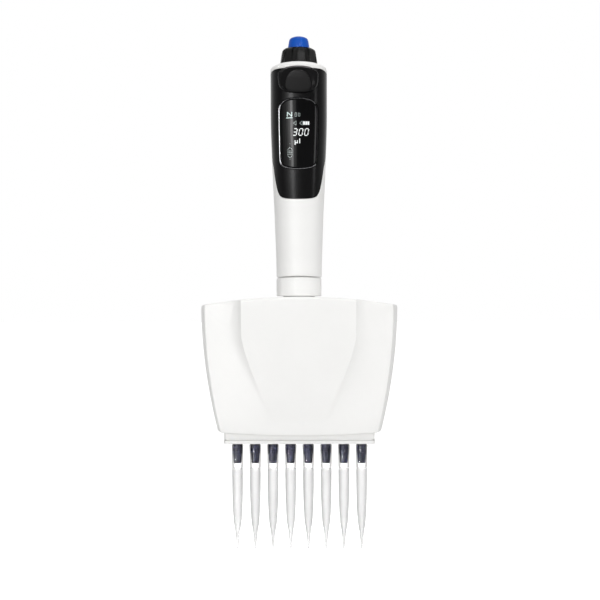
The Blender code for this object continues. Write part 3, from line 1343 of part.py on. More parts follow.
def make_tips():
    """Eight thin tips, each a funnel under a collar that grips its nozzle."""
    wall = TIP_WALL
    collar = TIP_LENGTH - TIP_COLLAR_LENGTH
    step = collar - 1.2 * MM
    grip = NOZZLE_RADIUS + SLIDE_GAP
    profile = [
        (TIP_ORIFICE_RADIUS, 0.0),
        (TIP_POINT_RADIUS, 0.0),
        (1.15 * MM, 8.0 * MM),
        (TIP_KNEE_RADIUS, TIP_KNEE_HEIGHT),
        (TIP_MIDDLE_RADIUS, TIP_MIDDLE_HEIGHT),
        (TIP_BODY_RADIUS, step),
        (TIP_COLLAR_RADIUS, collar),
        (TIP_RIM_RADIUS, TIP_LENGTH - 1.4 * MM),
        (TIP_RIM_RADIUS, TIP_LENGTH),
        (grip, TIP_LENGTH),
        (NOZZLE_END_RADIUS + 0.5 * MM, collar + 0.6 * MM),
        (TIP_BODY_RADIUS - wall, step),
        (TIP_MIDDLE_RADIUS - wall, TIP_MIDDLE_HEIGHT),
        (TIP_KNEE_RADIUS - wall, TIP_KNEE_HEIGHT),
    ]
    for i, x in enumerate(CHANNEL_XS):
        tip = turned(f"tip_{i + 1}", profile, TIP_SIDES, clear_plastic())
        tip.location.x = x


def build():
    clear_scene()
    empty = bpy.data.objects.new("PIPETTE", None)
    bpy.context.scene.collection.objects.link(empty)
    make_handle_housing()
    make_front_panel()
    make_display()
    make_battery()
    make_charging_socket()
    make_finger_hook()
    make_eject_key()
    make_eject_push_rod()
    make_knob()
    make_button()
    make_drive()
    make_lock_ring()
    make_swivel_neck()
    make_manifold_covers()
    make_cover_screws()
    make_cylinder_block()
    make_pistons()
    make_ejector()
    make_nozzles()
    make_tips()
    empty.location = (0.0, -HOOK_SEAT_DISTANCE, -HOOK_SEAT)


build()
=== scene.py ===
import json
import math

import bmesh
import bpy
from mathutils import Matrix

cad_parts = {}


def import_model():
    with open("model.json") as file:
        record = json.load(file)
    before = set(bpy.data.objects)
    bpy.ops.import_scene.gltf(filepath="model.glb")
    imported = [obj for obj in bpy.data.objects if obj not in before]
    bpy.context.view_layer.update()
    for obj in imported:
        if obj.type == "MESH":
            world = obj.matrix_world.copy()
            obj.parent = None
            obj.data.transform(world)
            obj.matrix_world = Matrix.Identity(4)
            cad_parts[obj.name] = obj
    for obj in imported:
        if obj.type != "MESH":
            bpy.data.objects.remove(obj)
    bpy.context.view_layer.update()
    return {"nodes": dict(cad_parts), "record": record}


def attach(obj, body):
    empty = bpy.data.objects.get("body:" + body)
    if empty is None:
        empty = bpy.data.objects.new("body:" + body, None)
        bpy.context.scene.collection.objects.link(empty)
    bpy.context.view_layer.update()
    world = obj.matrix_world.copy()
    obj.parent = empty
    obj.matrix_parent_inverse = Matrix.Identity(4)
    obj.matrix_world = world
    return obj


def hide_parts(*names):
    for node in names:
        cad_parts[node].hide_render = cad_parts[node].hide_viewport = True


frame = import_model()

# Points are written in millimetres on the handle's axis, with height 0 at the tips' ends
MM = 0.001
SEAT_DISTANCE = 25.0
SEAT_HEIGHT = 233.7

# Camera: the photograph's view, level with the middle of the pipette
CAMERA_DISTANCE = 880.0
CAMERA_YAW = math.radians(1.0)
CAMERA_ROLL = math.radians(0.12)
CAMERA_HEIGHT = 126.2
CAMERA_SIDE = 0.4
VIEW_WIDTH = 304.8
SENSOR = 36.0


def metres_up(z):
    return (z - SEAT_HEIGHT) * MM


def world(x, y, z):
    return (x * MM, (y - SEAT_DISTANCE) * MM, metres_up(z))


def add_object(name, data):
    obj = bpy.data.objects.new(name, data)
    bpy.context.scene.collection.objects.link(obj)
    return obj


def make_camera():
    data = bpy.data.cameras.new("camera")
    data.sensor_width = SENSOR
    data.lens = SENSOR * CAMERA_DISTANCE / VIEW_WIDTH
    data.clip_start = 0.01
    data.clip_end = 50.0
    camera = add_object("camera", data)
    x = CAMERA_SIDE + CAMERA_DISTANCE * math.sin(CAMERA_YAW)
    y = -CAMERA_DISTANCE * math.cos(CAMERA_YAW)
    camera.location = world(x, y, CAMERA_HEIGHT)
    camera.rotation_euler = (math.radians(90), CAMERA_ROLL, CAMERA_YAW)
    bpy.context.scene.camera = camera


# Materials
CLOUD_SCALE = 45.0
WEAR_SCALE = 120.0
GRAIN_SCALE = 3600.0
GRAIN_DEPTH = 0.02 * MM
CLEARER_OVER = (2.0, 26.0)
END_CLARITY = 0.5


def add_node(tree, kind, **inputs):
    """Adds a node, with a value or another node's output for each of its named inputs."""
    node = tree.nodes.new(kind)
    for name, value in inputs.items():
        socket = node.inputs[name.replace("_", " ")]
        if isinstance(value, bpy.types.NodeSocket):
            tree.links.new(value, socket)
        else:
            socket.default_value = value
    return node


class Nodes:
    """A material's node tree with short calls to add and link nodes."""

    def __init__(self, name):
        self.material = bpy.data.materials.new(name)
        self.material.use_nodes = True
        self.tree = self.material.node_tree
        self.shader = self.tree.nodes["Principled BSDF"]
        self.coordinates = self.add("ShaderNodeTexCoord").outputs["Object"]

    def add(self, kind, **inputs):
        return add_node(self.tree, kind, **inputs)

    def noise(self, scale, detail=3.0, stretch=None):
        vector = self.coordinates
        if stretch:
            mapping = self.add("ShaderNodeMapping", Vector=vector, Scale=stretch)
            vector = mapping.outputs["Vector"]
        node = self.add("ShaderNodeTexNoise", Vector=vector, Scale=scale, Detail=detail)
        return node.outputs["Fac"]

    def ramp(self, factor, low, high, start=0.3, end=0.7):
        node = self.add("ShaderNodeValToRGB", Fac=factor)
        for stop, place, colour in zip(node.color_ramp.elements, (start, end), (low, high)):
            stop.position = place
            stop.color = (*colour, 1.0)
        return node.outputs["Color"]

    def between(self, factor, low, high, start=0.0, end=1.0):
        span = {"From_Min": start, "From_Max": end, "To_Min": low, "To_Max": high}
        return self.add("ShaderNodeMapRange", Value=factor, **span).outputs["Result"]

    def bump(self, height, strength, distance):
        node = self.add("ShaderNodeBump", Height=height, Strength=strength, Distance=distance)
        self.link(node.outputs["Normal"], "Normal")

    def set(self, **values):
        for name, value in values.items():
            self.shader.inputs[name.replace("_", " ")].default_value = value

    def link(self, output, socket):
        self.tree.links.new(output, self.shader.inputs[socket])


def shade(colour, amount):
    return tuple(channel * (1.0 + amount) for channel in colour)


def moulded(name, colour, roughness, ior=1.46, grain=0.03, texture=0.12):
    """Injection-moulded plastic: faint cloudiness, uneven gloss and a fine spark texture."""
    nodes = Nodes(name)
    cloud = nodes.noise(CLOUD_SCALE)
    nodes.link(nodes.ramp(cloud, shade(colour, -grain), shade(colour, grain)), "Base Color")
    wear = nodes.noise(WEAR_SCALE, 4.0)
    nodes.link(nodes.between(wear, roughness - 0.05, roughness + 0.05), "Roughness")
    nodes.bump(nodes.noise(GRAIN_SCALE, 2.0), texture, GRAIN_DEPTH)
    nodes.set(IOR=ior)
    return nodes.material


def metal(name, colour, roughness, stretch=(1.0, 1.0, 1.0)):
    """Metal whose turning or brushing marks can be stretched along one way."""
    nodes = Nodes(name)
    marks = nodes.noise(300.0, 4.0, stretch)
    nodes.link(nodes.ramp(marks, shade(colour, -0.12), shade(colour, 0.08)), "Base Color")
    nodes.link(nodes.between(marks, roughness - 0.08, roughness + 0.1), "Roughness")
    nodes.bump(marks, 0.15, GRAIN_DEPTH)
    nodes.set(Metallic=1.0)
    return nodes.material


def board():
    """Green solder mask with copper tracks faintly under it."""
    nodes = Nodes("circuit_board")
    brick = nodes.add("ShaderNodeTexBrick", Vector=nodes.coordinates, Scale=400.0)
    tracks = nodes.ramp(brick.outputs["Fac"], (0.02, 0.16, 0.06), (0.04, 0.28, 0.12))
    nodes.link(tracks, "Base Color")
    nodes.set(Roughness=0.35)
    nodes.bump(brick.outputs["Fac"], 0.3, 0.05 * MM)
    return nodes.material


def lit(name, colour, strength):
    """A lit figure on the display, a little uneven as its pixels are."""
    nodes = Nodes(name)
    pixels = nodes.noise(1500.0, 1.0)
    nodes.link(nodes.ramp(pixels, shade(colour, -0.1), colour), "Emission Color")
    nodes.link(nodes.ramp(pixels, (0.02, 0.02, 0.02), (0.03, 0.03, 0.03)), "Base Color")
    nodes.set(Emission_Strength=strength, Roughness=0.4)
    return nodes.material


def glass():
    """The display's dark window."""
    nodes = Nodes("window_black")
    tint = nodes.noise(60.0, 2.0)
    nodes.link(nodes.ramp(tint, (0.0012, 0.0012, 0.0014), (0.0022, 0.0022, 0.0025)), "Base Color")
    nodes.link(nodes.between(nodes.noise(200.0, 3.0), 0.09, 0.13), "Roughness")
    nodes.set(IOR=1.125)
    return nodes.material


def frosted(name, density, roughness, white, ior, edge, reach=0.45, clear_end=False):
    """Clear polypropylene: more milky where density is high, with painted shade that darkens its colour
    where it turns away.
    """
    nodes = Nodes(name)
    flow = nodes.noise(160.0, 2.0, (1.0, 1.0, 0.12))
    body = nodes.ramp(flow, (white, white, white), (0.99, 0.99, 0.99))
    # Painted shade: the colour is darkened where the surface turns away from the view
    facing = nodes.add("ShaderNodeLayerWeight", Blend=0.35).outputs["Facing"]
    tint = nodes.ramp(facing, (1.0, 1.0, 1.0), (edge, edge, edge), 0.03, reach)
    mixed = nodes.add("ShaderNodeMixRGB", Fac=1.0, Color1=body, Color2=tint)
    mixed.blend_type = "MULTIPLY"
    nodes.link(mixed.outputs["Color"], "Base Color")
    nodes.link(nodes.between(flow, roughness - 0.04, roughness + 0.05), "Roughness")
    nodes.set(IOR=ior, Transmission_Weight=1.0 - density)
    if clear_end:
        place = nodes.add("ShaderNodeSeparateXYZ", Vector=nodes.coordinates).outputs["Z"]
        clear = nodes.between(place, END_CLARITY, 1.0 - density, *map(metres_up, CLEARER_OVER))
        nodes.link(clear, "Transmission Weight")
    return nodes.material


FINISH = {
    "white_plastic": moulded("moulded_white", (0.845, 0.842, 0.83), 0.45, ior=1.22, grain=0.012),
    "black_plastic": moulded("satin_black", (0.0022, 0.0021, 0.0024), 0.25, ior=1.145, grain=0.2),
    "knob_black": moulded("ring_black", (0.0035, 0.0035, 0.0034), 0.34, ior=1.2, grain=0.2),
    # Thumb key: its brow is painted grey as a painted highlight, and its textured pad is painted
    # lighter as a painted sheen
    "key_brow_highlight": moulded("key_brow_painted_highlight", (0.085, 0.08, 0.083), 0.4, ior=1.2, grain=0.1),
    "key_pad_texture_and_sheen": moulded("thumb_pad_texture_and_sheen", (0.008, 0.0077, 0.0079), 0.5, ior=1.18, grain=0.1, texture=0.4),
    "blue_plastic": moulded("button_blue", (0.003, 0.075, 0.42), 0.34, ior=1.22, grain=0.06),
    "dark_polymer": moulded("nozzle_navy", (0.009, 0.01, 0.022), 0.18, ior=1.3, grain=0.1),
    # The tips' colours carry painted shade towards their edges
    "clear_plastic": frosted("tip_milky", 0.66, 0.2, 0.9, 1.06, 0.82, reach=0.22, clear_end=True),
    "clear_collar": frosted("tip_clear", 0.0, 0.05, 0.99, 1.12, 0.42),
    "black_glass": glass(),
    "bright_trim": metal("window_edge", (0.13, 0.13, 0.135), 0.26),
    # The display rim's bright left side: a painted highlight
    "rim_painted_highlight": metal("painted_trim_highlight", (0.62, 0.62, 0.64), 0.3),
    "steel": metal("ground_steel", (0.58, 0.58, 0.60), 0.3, (1.0, 1.0, 9.0)),
    "aluminium": metal("milled_aluminium", (0.74, 0.74, 0.75), 0.34, (9.0, 1.0, 1.0)),
    "brass": metal("turned_brass", (0.72, 0.53, 0.24), 0.32, (1.0, 1.0, 7.0)),
    "grey_plastic": moulded("moulded_grey", (0.28, 0.29, 0.31), 0.5, grain=0.06),
    "board_green": board(),
    "silicone": moulded("seal_rubber", (0.52, 0.18, 0.13), 0.6, grain=0.08),
    "figure_white": lit("figure_white", (0.92, 0.96, 0.95), 0.95),
    "figure_mint": lit("figure_mint", (0.55, 0.78, 0.74), 0.75),
    "figure_dim": lit("figure_dim", (0.14, 0.2, 0.185), 0.8),
    "contact_gold": metal("contact_gold", (0.83, 0.62, 0.25), 0.25),
}


# Shapes: a shape is a list of points and a list of faces
WELD = 0.0005
AXIS_RADIUS = 0.02


def loft(rings, closed=False):
    """Joins rings of equally many points. A closed loft returns to its first ring."""
    sides = len(rings[0])
    points = [point for ring in rings for point in ring]
    faces = []
    count = len(rings)
    for k in range(count if closed else count - 1):
        low, high = k * sides, (k + 1) % count * sides
        for i in range(sides):
            j = (i + 1) % sides
            faces.append((low + i, low + j, high + j, high + i))
    if not closed:
        faces.append(tuple(reversed(range(sides))))
        faces.append(tuple(range((count - 1) * sides, count * sides)))
    return points, faces


def joined(*shapes):
    points, faces = [], []
    for more_points, more_faces in shapes:
        start = len(points)
        points += more_points
        faces += [tuple(start + i for i in face) for face in more_faces]
    return points, faces


def turns(sides):
    return [2 * math.pi * i / sides for i in range(sides)]


def circle(radius, height, sides, x=0.0):
    return [(x + radius * math.cos(t), radius * math.sin(t), height) for t in turns(sides)]


def turned(profile, sides, closed=True, x=0.0):
    """Spins a profile of (radius, height). One that isn't closed starts and ends on the axis."""
    if closed:
        return loft([circle(r, z, sides, x) for r, z in profile], closed=True)
    return loft([circle(max(r, AXIS_RADIUS), z, sides, x) for r, z in profile])


def spline(points, steps):
    """A smooth open curve through points."""
    made = []
    for i in range(len(points) - 1):
        quad = (points[max(i - 1, 0)], points[i], points[i + 1], points[min(i + 2, len(points) - 1)])
        for step in range(steps):
            t = step / steps
            place = []
            for a, b, c, d in zip(*quad):
                curve = (2 * a - 5 * b + 4 * c - d) * t * t
                place.append(0.5 * (2 * b + (c - a) * t + curve + (3 * b - a - 3 * c + d) * t**3))
            made.append(tuple(place))
    return made + [tuple(points[-1])]


def grown(outline, distance):
    """A closed outline moved outwards by a distance."""
    before, after = outline[-1:] + outline[:-1], outline[1:] + outline[:1]
    area = sum(a[0] * b[1] - b[0] * a[1] for a, b in zip(before, outline))
    side = 1.0 if area > 0 else -1.0
    moved = []
    for (x0, z0), (x, z), (x1, z1) in zip(before, outline, after):
        dx, dz = x1 - x0, z1 - z0
        length = math.hypot(dx, dz)
        moved.append((x + side * distance * dz / length, z - side * distance * dx / length))
    return moved


def evenly(outline, count):
    """A closed outline's points, spaced evenly along it."""
    loop = list(outline) + [outline[0]]
    lengths = [0.0]
    for a, b in zip(loop, loop[1:]):
        lengths.append(lengths[-1] + math.dist(a, b))
    made, k = [], 0
    for i in range(count):
        want = lengths[-1] * i / count
        while lengths[k + 1] < want:
            k += 1
        t = (want - lengths[k]) / (lengths[k + 1] - lengths[k])
        made.append(tuple(a + (b - a) * t for a, b in zip(loop[k], loop[k + 1])))
    return made


def mesh_object(name, shape):
    points, faces = shape
    bm = bmesh.new()
    verts = [bm.verts.new(world(*point)) for point in points]
    for face in faces:
        bm.faces.new([verts[i] for i in face])
    bmesh.ops.remove_doubles(bm, verts=bm.verts, dist=WELD * MM)
    bmesh.ops.recalc_face_normals(bm, faces=bm.faces)
    mesh = bpy.data.meshes.new(name)
    bm.to_mesh(mesh)
    bm.free()
    return add_object(name, mesh)


def piece(name, shape, finish, body, nodes=(), angle=38.0, cuts=(), keep=()):
    """A piece of the visual model. Cuts are taken out of it, and it is kept inside keep."""
    obj = mesh_object(name, shape)
    helpers = []
    for operation, shapes in (("INTERSECT", keep), ("DIFFERENCE", cuts)):
        for i, cutter in enumerate(shapes):
            made = mesh_object(f"{name}_{operation}_{i}", cutter)
            boolean = obj.modifiers.new(made.name, "BOOLEAN")
            boolean.operation = operation
            boolean.object = made
            helpers.append(made)
    if helpers:
        bpy.context.view_layer.update()
        done = obj.evaluated_get(bpy.context.evaluated_depsgraph_get())
        mesh = bpy.data.meshes.new_from_object(done)
        obj.modifiers.clear()
        obj.data = mesh
        for made in helpers:
            bpy.data.objects.remove(made)
    mesh = obj.data
    mesh.name = name
    mesh.materials.clear()
    mesh.materials.append(FINISH[finish])
    mesh.shade_smooth()
    mesh.set_sharp_from_angle(angle=math.radians(angle))
    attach(obj, body)
    if nodes:
        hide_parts(*nodes)
    return obj


def paint(obj, finish, chosen):
    """Gives another finish to the faces whose centre and normal are chosen."""
    obj.data.materials.append(FINISH[finish])
    index = len(obj.data.materials) - 1
    for face in obj.data.polygons:
        if chosen(face.center, face.normal):
            face.material_index = index


# Handle: height, half width, depth to the front, depth to the back, squareness
HANDLE_BOTTOM = 137.7
HANDLE_TOP = 245.5
STATIONS = (
    (137.7, 11.45, 11.8, 11.8, 2.00), (144.5, 11.55, 12.0, 12.0, 2.01),
    (152.5, 11.8, 12.5, 12.4, 2.05), (161.0, 12.12, 13.1, 12.9, 2.10),
    (169.5, 12.42, 13.7, 13.3, 2.15), (177.5, 12.8, 14.35, 14.0, 2.22),
    (185.5, 13.2, 15.0, 14.8, 2.30), (200.5, 13.75, 16.1, 16.3, 2.40),
    (209.5, 14.08, 16.55, 17.0, 2.47), (218.0, 14.26, 16.8, 17.3, 2.50),
    (235.5, 14.3, 16.8, 17.5, 2.50), (245.5, 14.35, 16.6, 17.5, 2.50),
)
HANDLE_SIDES = 144
WALL = 1.8
SEAT_GAP = 0.3
SLIDE_GAP = 0.25
EDGE_ARCH = 0.55
TOP_RADIUS = 2.3
TOP_CROWN = 0.0078
CROWN_HEIGHT = 9.0
HOUSING_FLOOR = 3.0
HOUSING_DECK = 2.0
KNOB_HOLE = 7.25
NECK_HOLE = 8.25
SOCKET_HALF = 4.8
SOCKET_BOTTOM = 195.4
SOCKET_TOP = 199.2


def section(height):
    """Half width, front depth, back depth and squareness of the handle, smooth in height."""
    z = min(max(height, STATIONS[0][0]), STATIONS[-1][0])
    k = next(i for i in range(1, len(STATIONS)) if STATIONS[i][0] >= z)
    a, b = STATIONS[k - 1], STATIONS[k]
    before, after = STATIONS[max(k - 2, 0)], STATIONS[min(k + 1, len(STATIONS) - 1)]
    span = b[0] - a[0]
    t = (z - a[0]) / span
    sizes = []
    for i in range(1, 5):
        slope_a = (b[i] - before[i]) / (b[0] - before[0]) * span
        slope_b = (after[i] - a[i]) / (after[0] - a[0]) * span
        sizes.append(
            (2 * t**3 - 3 * t**2 + 1) * a[i]
            + (t**3 - 2 * t**2 + t) * slope_a
            + (3 * t**2 - 2 * t**3) * b[i]
            + (t**3 - t**2) * slope_b
        )
    return sizes


def handle_ring(height, inset=0.0, lift=0.0):
    """The handle's section at a height. lift raises its front and back by an arch."""
    half, front, back, square = section(height)
    ring = []
    for turn in turns(HANDLE_SIDES):
        cosine, sine = math.cos(turn), math.sin(turn)
        depth = back if sine > 0 else front
        x = (half - inset) * math.copysign(abs(cosine) ** (2 / square), cosine)
        y = (depth - inset) * math.copysign(abs(sine) ** (2 / square), sine)
        ring.append((x, y, height + lift * sine * sine))
    return ring


def front_depth(x, height):
    """How far the handle's front is in front of its axis."""
    half, front, _, square = section(height)
    share = min(abs(x) / half, 0.999)
    return front * (1 - share**square) ** (1 / square)


def heights(low, high, count):
    return [low + (high - low) * i / (count - 1) for i in range(count)]


# Front panel, seen from the side as (y, z)
PANEL_TOP = 242.3
PANEL_BOTTOM = 177.1
PANEL_EDGE = (
    (-16.5, 241.9), (-12.0, 241.75), (-8.5, 241.2), (-5.0, 240.5), (-2.0, 239.6), (0.6, 238.2),
    (1.9, 236.4), (2.4, 234.0), (2.5, 229.0), (2.5, 222.0), (2.45, 214.3), (1.7, 208.0),
    (-0.4, 201.6), (-3.3, 197.4), (-6.5, 193.4), (-7.5, 189.4), (-8.3, 185.8), (-9.25, 181.8),
    (-10.2, 179.3), (-11.4, 177.9), (-13.4, 177.05), (-16.5, 176.65),
)
FAR = 45.0
FRONT_REACH = -5.0
KEY_STEM_HALF = 2.4
KEY_STEM_LOW = 235.5
KEY_STEM_TOP = 237.8
EJECT_TRAVEL = 5.5


def panel_prism(grow=0.0):
    """A prism across the handle that takes in the front panel."""
    edge = spline(PANEL_EDGE, 6)
    outline = [(-FAR, PANEL_TOP - 0.4)] + edge + [(-FAR, PANEL_BOTTOM - 0.1)]
    moved = grown(outline, grow) if grow else outline
    return loft([[(x, y, z) for y, z in moved] for x in (-FAR, FAR)])


# Display window, seen from the front as (x, z)
DISPLAY_MIDDLE = 209.45
DISPLAY_POINTS = (
    (0.0, 226.6), (3.2, 226.4), (5.9, 225.75), (7.9, 224.5), (9.0, 222.9), (9.4, 220.6),
    (9.34, 214.0), (9.18, 205.0), (9.04, 197.6), (8.78, 195.3), (7.8, 193.6), (5.8, 192.75),
    (3.0, 192.2), (0.0, 192.05),
)
OUTLINE_COUNT = 160
TRIM_GAP = 0.12
TRIM_WIDTH = 0.6
# Where the display rim is painted: a highlight on its left side, shade on its right
RIM_HIGHLIGHT_LEFT = -8.5
RIM_HIGHLIGHT_LOW = 194.0
RIM_HIGHLIGHT_HIGH = 223.6
RIM_SHADE_RIGHT = 8.6


def smooth_loop(half, count):
    """A closed outline of evenly spaced points, from the points down its right half."""
    points = spline(half, 8)
    return evenly(points + [(-x, z) for x, z in reversed(points[1:-1])], count)


def display_outline(grow=0.0):
    return grown(smooth_loop(DISPLAY_POINTS, OUTLINE_COUNT), grow)


def in_metres(outline):
    return [(x * MM, metres_up(z)) for x, z in outline]


def within(outline, x, z):
    """Whether a place lies inside a closed outline."""
    crossings = 0
    for (x0, z0), (x1, z1) in zip(outline, outline[1:] + outline[:1]):
        if (z0 > z) != (z1 > z) and x < x0 + (x1 - x0) * (z - z0) / (z1 - z0):
            crossings += 1
    return crossings % 2 == 1


def block(low, high):
    (x0, y0, z0), (x1, y1, z1) = low, high
    ring = ((x0, y0), (x1, y0), (x1, y1), (x0, y1))
    return loft([[(x, y, z) for x, y in ring] for z in (z0, z1)])


def make_housing():
    rings = []
    for rise, inset in ((0.0, 0.45), (0.12, 0.14), (0.4, 0.0)):
        rings.append(handle_ring(HANDLE_BOTTOM + rise, inset, EDGE_ARCH))
    for height in heights(HANDLE_BOTTOM + 1.5, HANDLE_TOP - TOP_RADIUS, 72):
        fade = max(1 - (height - HANDLE_BOTTOM) / 6.0, 0.0) ** 2
        rings.append(handle_ring(height, 0.0, EDGE_ARCH * fade))
    for step in range(1, 9):
        turn = math.radians(90 * step / 8)
        height = HANDLE_TOP - TOP_RADIUS * (1 - math.sin(turn))
        rings.append(handle_ring(height, TOP_RADIUS * (1 - math.cos(turn))))
    rings.append(circle(KNOB_HOLE + 1.2, HANDLE_TOP, HANDLE_SIDES))
    rings.append(circle(KNOB_HOLE, HANDLE_TOP, HANDLE_SIDES))
    for ring in rings:
        for i, (x, y, z) in enumerate(ring):
            share = max((z - HANDLE_TOP) / CROWN_HEIGHT + 1, 0.0) ** 2
            ring[i] = (x, y, z - TOP_CROWN * x * x * share)
    deck, floor = HANDLE_TOP - HOUSING_DECK, HANDLE_BOTTOM + HOUSING_FLOOR
    rings.append(circle(KNOB_HOLE, deck, HANDLE_SIDES))
    for height in reversed(heights(floor, deck, 24)):
        rings.append(handle_ring(height, WALL))
    rings.append(circle(NECK_HOLE, floor, HANDLE_SIDES))
    rings.append(circle(NECK_HOLE, HANDLE_BOTTOM, HANDLE_SIDES))
    socket = block((-SOCKET_HALF, 7.5, SOCKET_BOTTOM), (SOCKET_HALF, FAR, SOCKET_TOP))
    cuts = [panel_prism(0.22), socket]
    shell = loft(rings, closed=True)
    piece("handle_shell", shell, "white_plastic", "handle", ["handle_housing"], cuts=cuts)


def make_panel():
    rows = heights(PANEL_BOTTOM - 1.5, PANEL_TOP + 1.0, 80)
    rings = [handle_ring(z) for z in rows]
    rings += [handle_ring(z, WALL) for z in reversed(rows)]
    opening = display_outline(TRIM_GAP + TRIM_WIDTH + 0.08)
    hole = loft([[(x, y, z) for x, z in opening] for y in (-FAR, FRONT_REACH)])
    half = KEY_STEM_HALF + SEAT_GAP
    foot = KEY_STEM_LOW - EJECT_TRAVEL - SEAT_GAP
    slot = block((-half, -FAR, foot), (half, FRONT_REACH, KEY_STEM_TOP + 0.3))
    shell = loft(rings, closed=True)
    cuts, keep = [hole, slot], [panel_prism()]
    piece("panel_shell", shell, "black_plastic", "handle", ["front_panel"], cuts=cuts, keep=keep)


def on_front(x, z, proud=0.0):
    return (x, -front_depth(x, z) - proud, z)


def scaled(outline, share, height):
    """An outline drawn in towards a height on the middle line."""
    return [(x * share, height + (z - height) * share) for x, z in outline]


def make_display():
    outline = display_outline()
    rings = []
    for share in (0.03, 0.2, 0.38, 0.55, 0.7, 0.82, 0.91, 0.965):
        rings.append([on_front(x, z) for x, z in scaled(outline, share, DISPLAY_MIDDLE)])
    for inset, drop in ((0.16, 0.0), (0.05, 0.05), (0.0, 0.18), (0.0, 1.4)):
        rings.append([on_front(x, z, -drop) for x, z in grown(outline, -inset)])
    rings.append([on_front(x, z, -1.4) for x, z in scaled(outline, 0.03, DISPLAY_MIDDLE)])
    piece("display_glass", loft(rings), "black_glass", "handle", ["display_window"])
    near, far = TRIM_GAP, TRIM_GAP + TRIM_WIDTH
    profile = [(near, -1.2), (near, -0.1), (near + 0.06, 0.0), (near + 0.14, 0.06)]
    profile += [(near + 0.22, 0.02), (near + 0.3, -0.12), (far, -0.2), (far, -1.2)]
    rings = [[on_front(x, z, proud) for x, z in display_outline(out)] for out, proud in profile]
    rim = loft(rings, closed=True)
    trim = piece("display_rim", rim, "bright_trim", "handle", ["display_trim_ring"], angle=60.0)
    low, high = metres_up(RIM_HIGHLIGHT_LOW), metres_up(RIM_HIGHLIGHT_HIGH)
    outer = in_metres(display_outline(near + 0.3))

    # Painted highlight: a bright metal on the rim's left side
    def bright(centre, normal):
        return centre.x < RIM_HIGHLIGHT_LEFT * MM and low < centre.z < high

    # Painted shade: black on the rim's right side. Its outer slope into the panel is black too
    def dark(centre, normal):
        edge = centre.x > RIM_SHADE_RIGHT * MM or not within(outer, centre.x, centre.z)
        return edge and not bright(centre, normal)

    # The rim's left side gets a painted highlight and its right side painted shade
    paint(trim, "rim_painted_highlight", bright)
    paint(trim, "black_plastic", dark)


# Figures on the display
PIXEL = 0.4985
PIXEL_UP = 0.508
MIDDLE_COLUMN = 298.1
FOOT_ROW = 547.9
FRONT_DEPTH = 16.3
FIGURE_PROUD = 0.03
FIGURE_SUNK = 0.02


def at_pixel(px, py):
    """A place on the display's front, from a place in the photograph."""
    x = (px - MIDDLE_COLUMN) * PIXEL
    apparent = (FOOT_ROW - py) * PIXEL_UP
    z = CAMERA_HEIGHT + (apparent - CAMERA_HEIGHT) * (1 - FRONT_DEPTH / CAMERA_DISTANCE)
    return x, z


def stroke(start, end, width):
    """A thin bar on the window between two places in the photograph."""
    (x0, z0), (x1, z1) = at_pixel(*start), at_pixel(*end)
    length = math.hypot(x1 - x0, z1 - z0)
    ux, uz = (x1 - x0) / length, (z1 - z0) / length
    half = width * PIXEL / 2
    count = max(int(length / 0.8), 1)
    rings = []
    for i in range(count + 1):
        x, z = x0 + (x1 - x0) * i / count, z0 + (z1 - z0) * i / count
        left, right = (x - uz * half, z + ux * half), (x + uz * half, z - ux * half)
        ring = [on_front(*left, FIGURE_PROUD), on_front(*right, FIGURE_PROUD)]
        ring += [on_front(*right, -FIGURE_SUNK), on_front(*left, -FIGURE_SUNK)]
        rings.append(ring)
    return loft(rings)


def box_lines(x0, y0, x1, y1):
    corners = [(x0, y0), (x1, y0), (x1, y1), (x0, y1)]
    return list(zip(corners, corners[1:] + corners[:1]))


SEGMENTS = {
    "a": ((0, 0), (1, 0)), "b": ((1, 0), (1, 0.5)), "c": ((1, 0.5), (1, 1)),
    "d": ((1, 1), (0, 1)), "e": ((0, 1), (0, 0.5)), "f": ((0, 0.5), (0, 0)),
    "g": ((0, 0.5), (1, 0.5)),
}
DIGITS = {"3": "abgcd", "0": "abcdef"}
DIGIT_WIDTH = 3.4
DIGIT_HEIGHT = 6.6
DIGIT_LEAN = 1.2
DIGIT_GAP = 0.12


def digit(mark, x, y):
    """One slanted seven-segment digit, drawn from its top left corner."""
    lines = []
    for name in DIGITS[mark]:
        ends = []
        for across, down in SEGMENTS[name]:
            shift = DIGIT_LEAN * (1 - down)
            ends.append((x + DIGIT_WIDTH * across + shift, y + DIGIT_HEIGHT * down))
        (ax, ay), (bx, by) = ends
        start = (ax + (bx - ax) * DIGIT_GAP, ay + (by - ay) * DIGIT_GAP)
        lines.append((start, (bx + (ax - bx) * DIGIT_GAP, by + (ay - by) * DIGIT_GAP)))
    return lines


def make_figure(name, lines, width, finish="figure_white"):
    shape = joined(*[stroke(start, end, width) for start, end in lines])
    piece(f"figure_{name}", shape, finish, "handle")


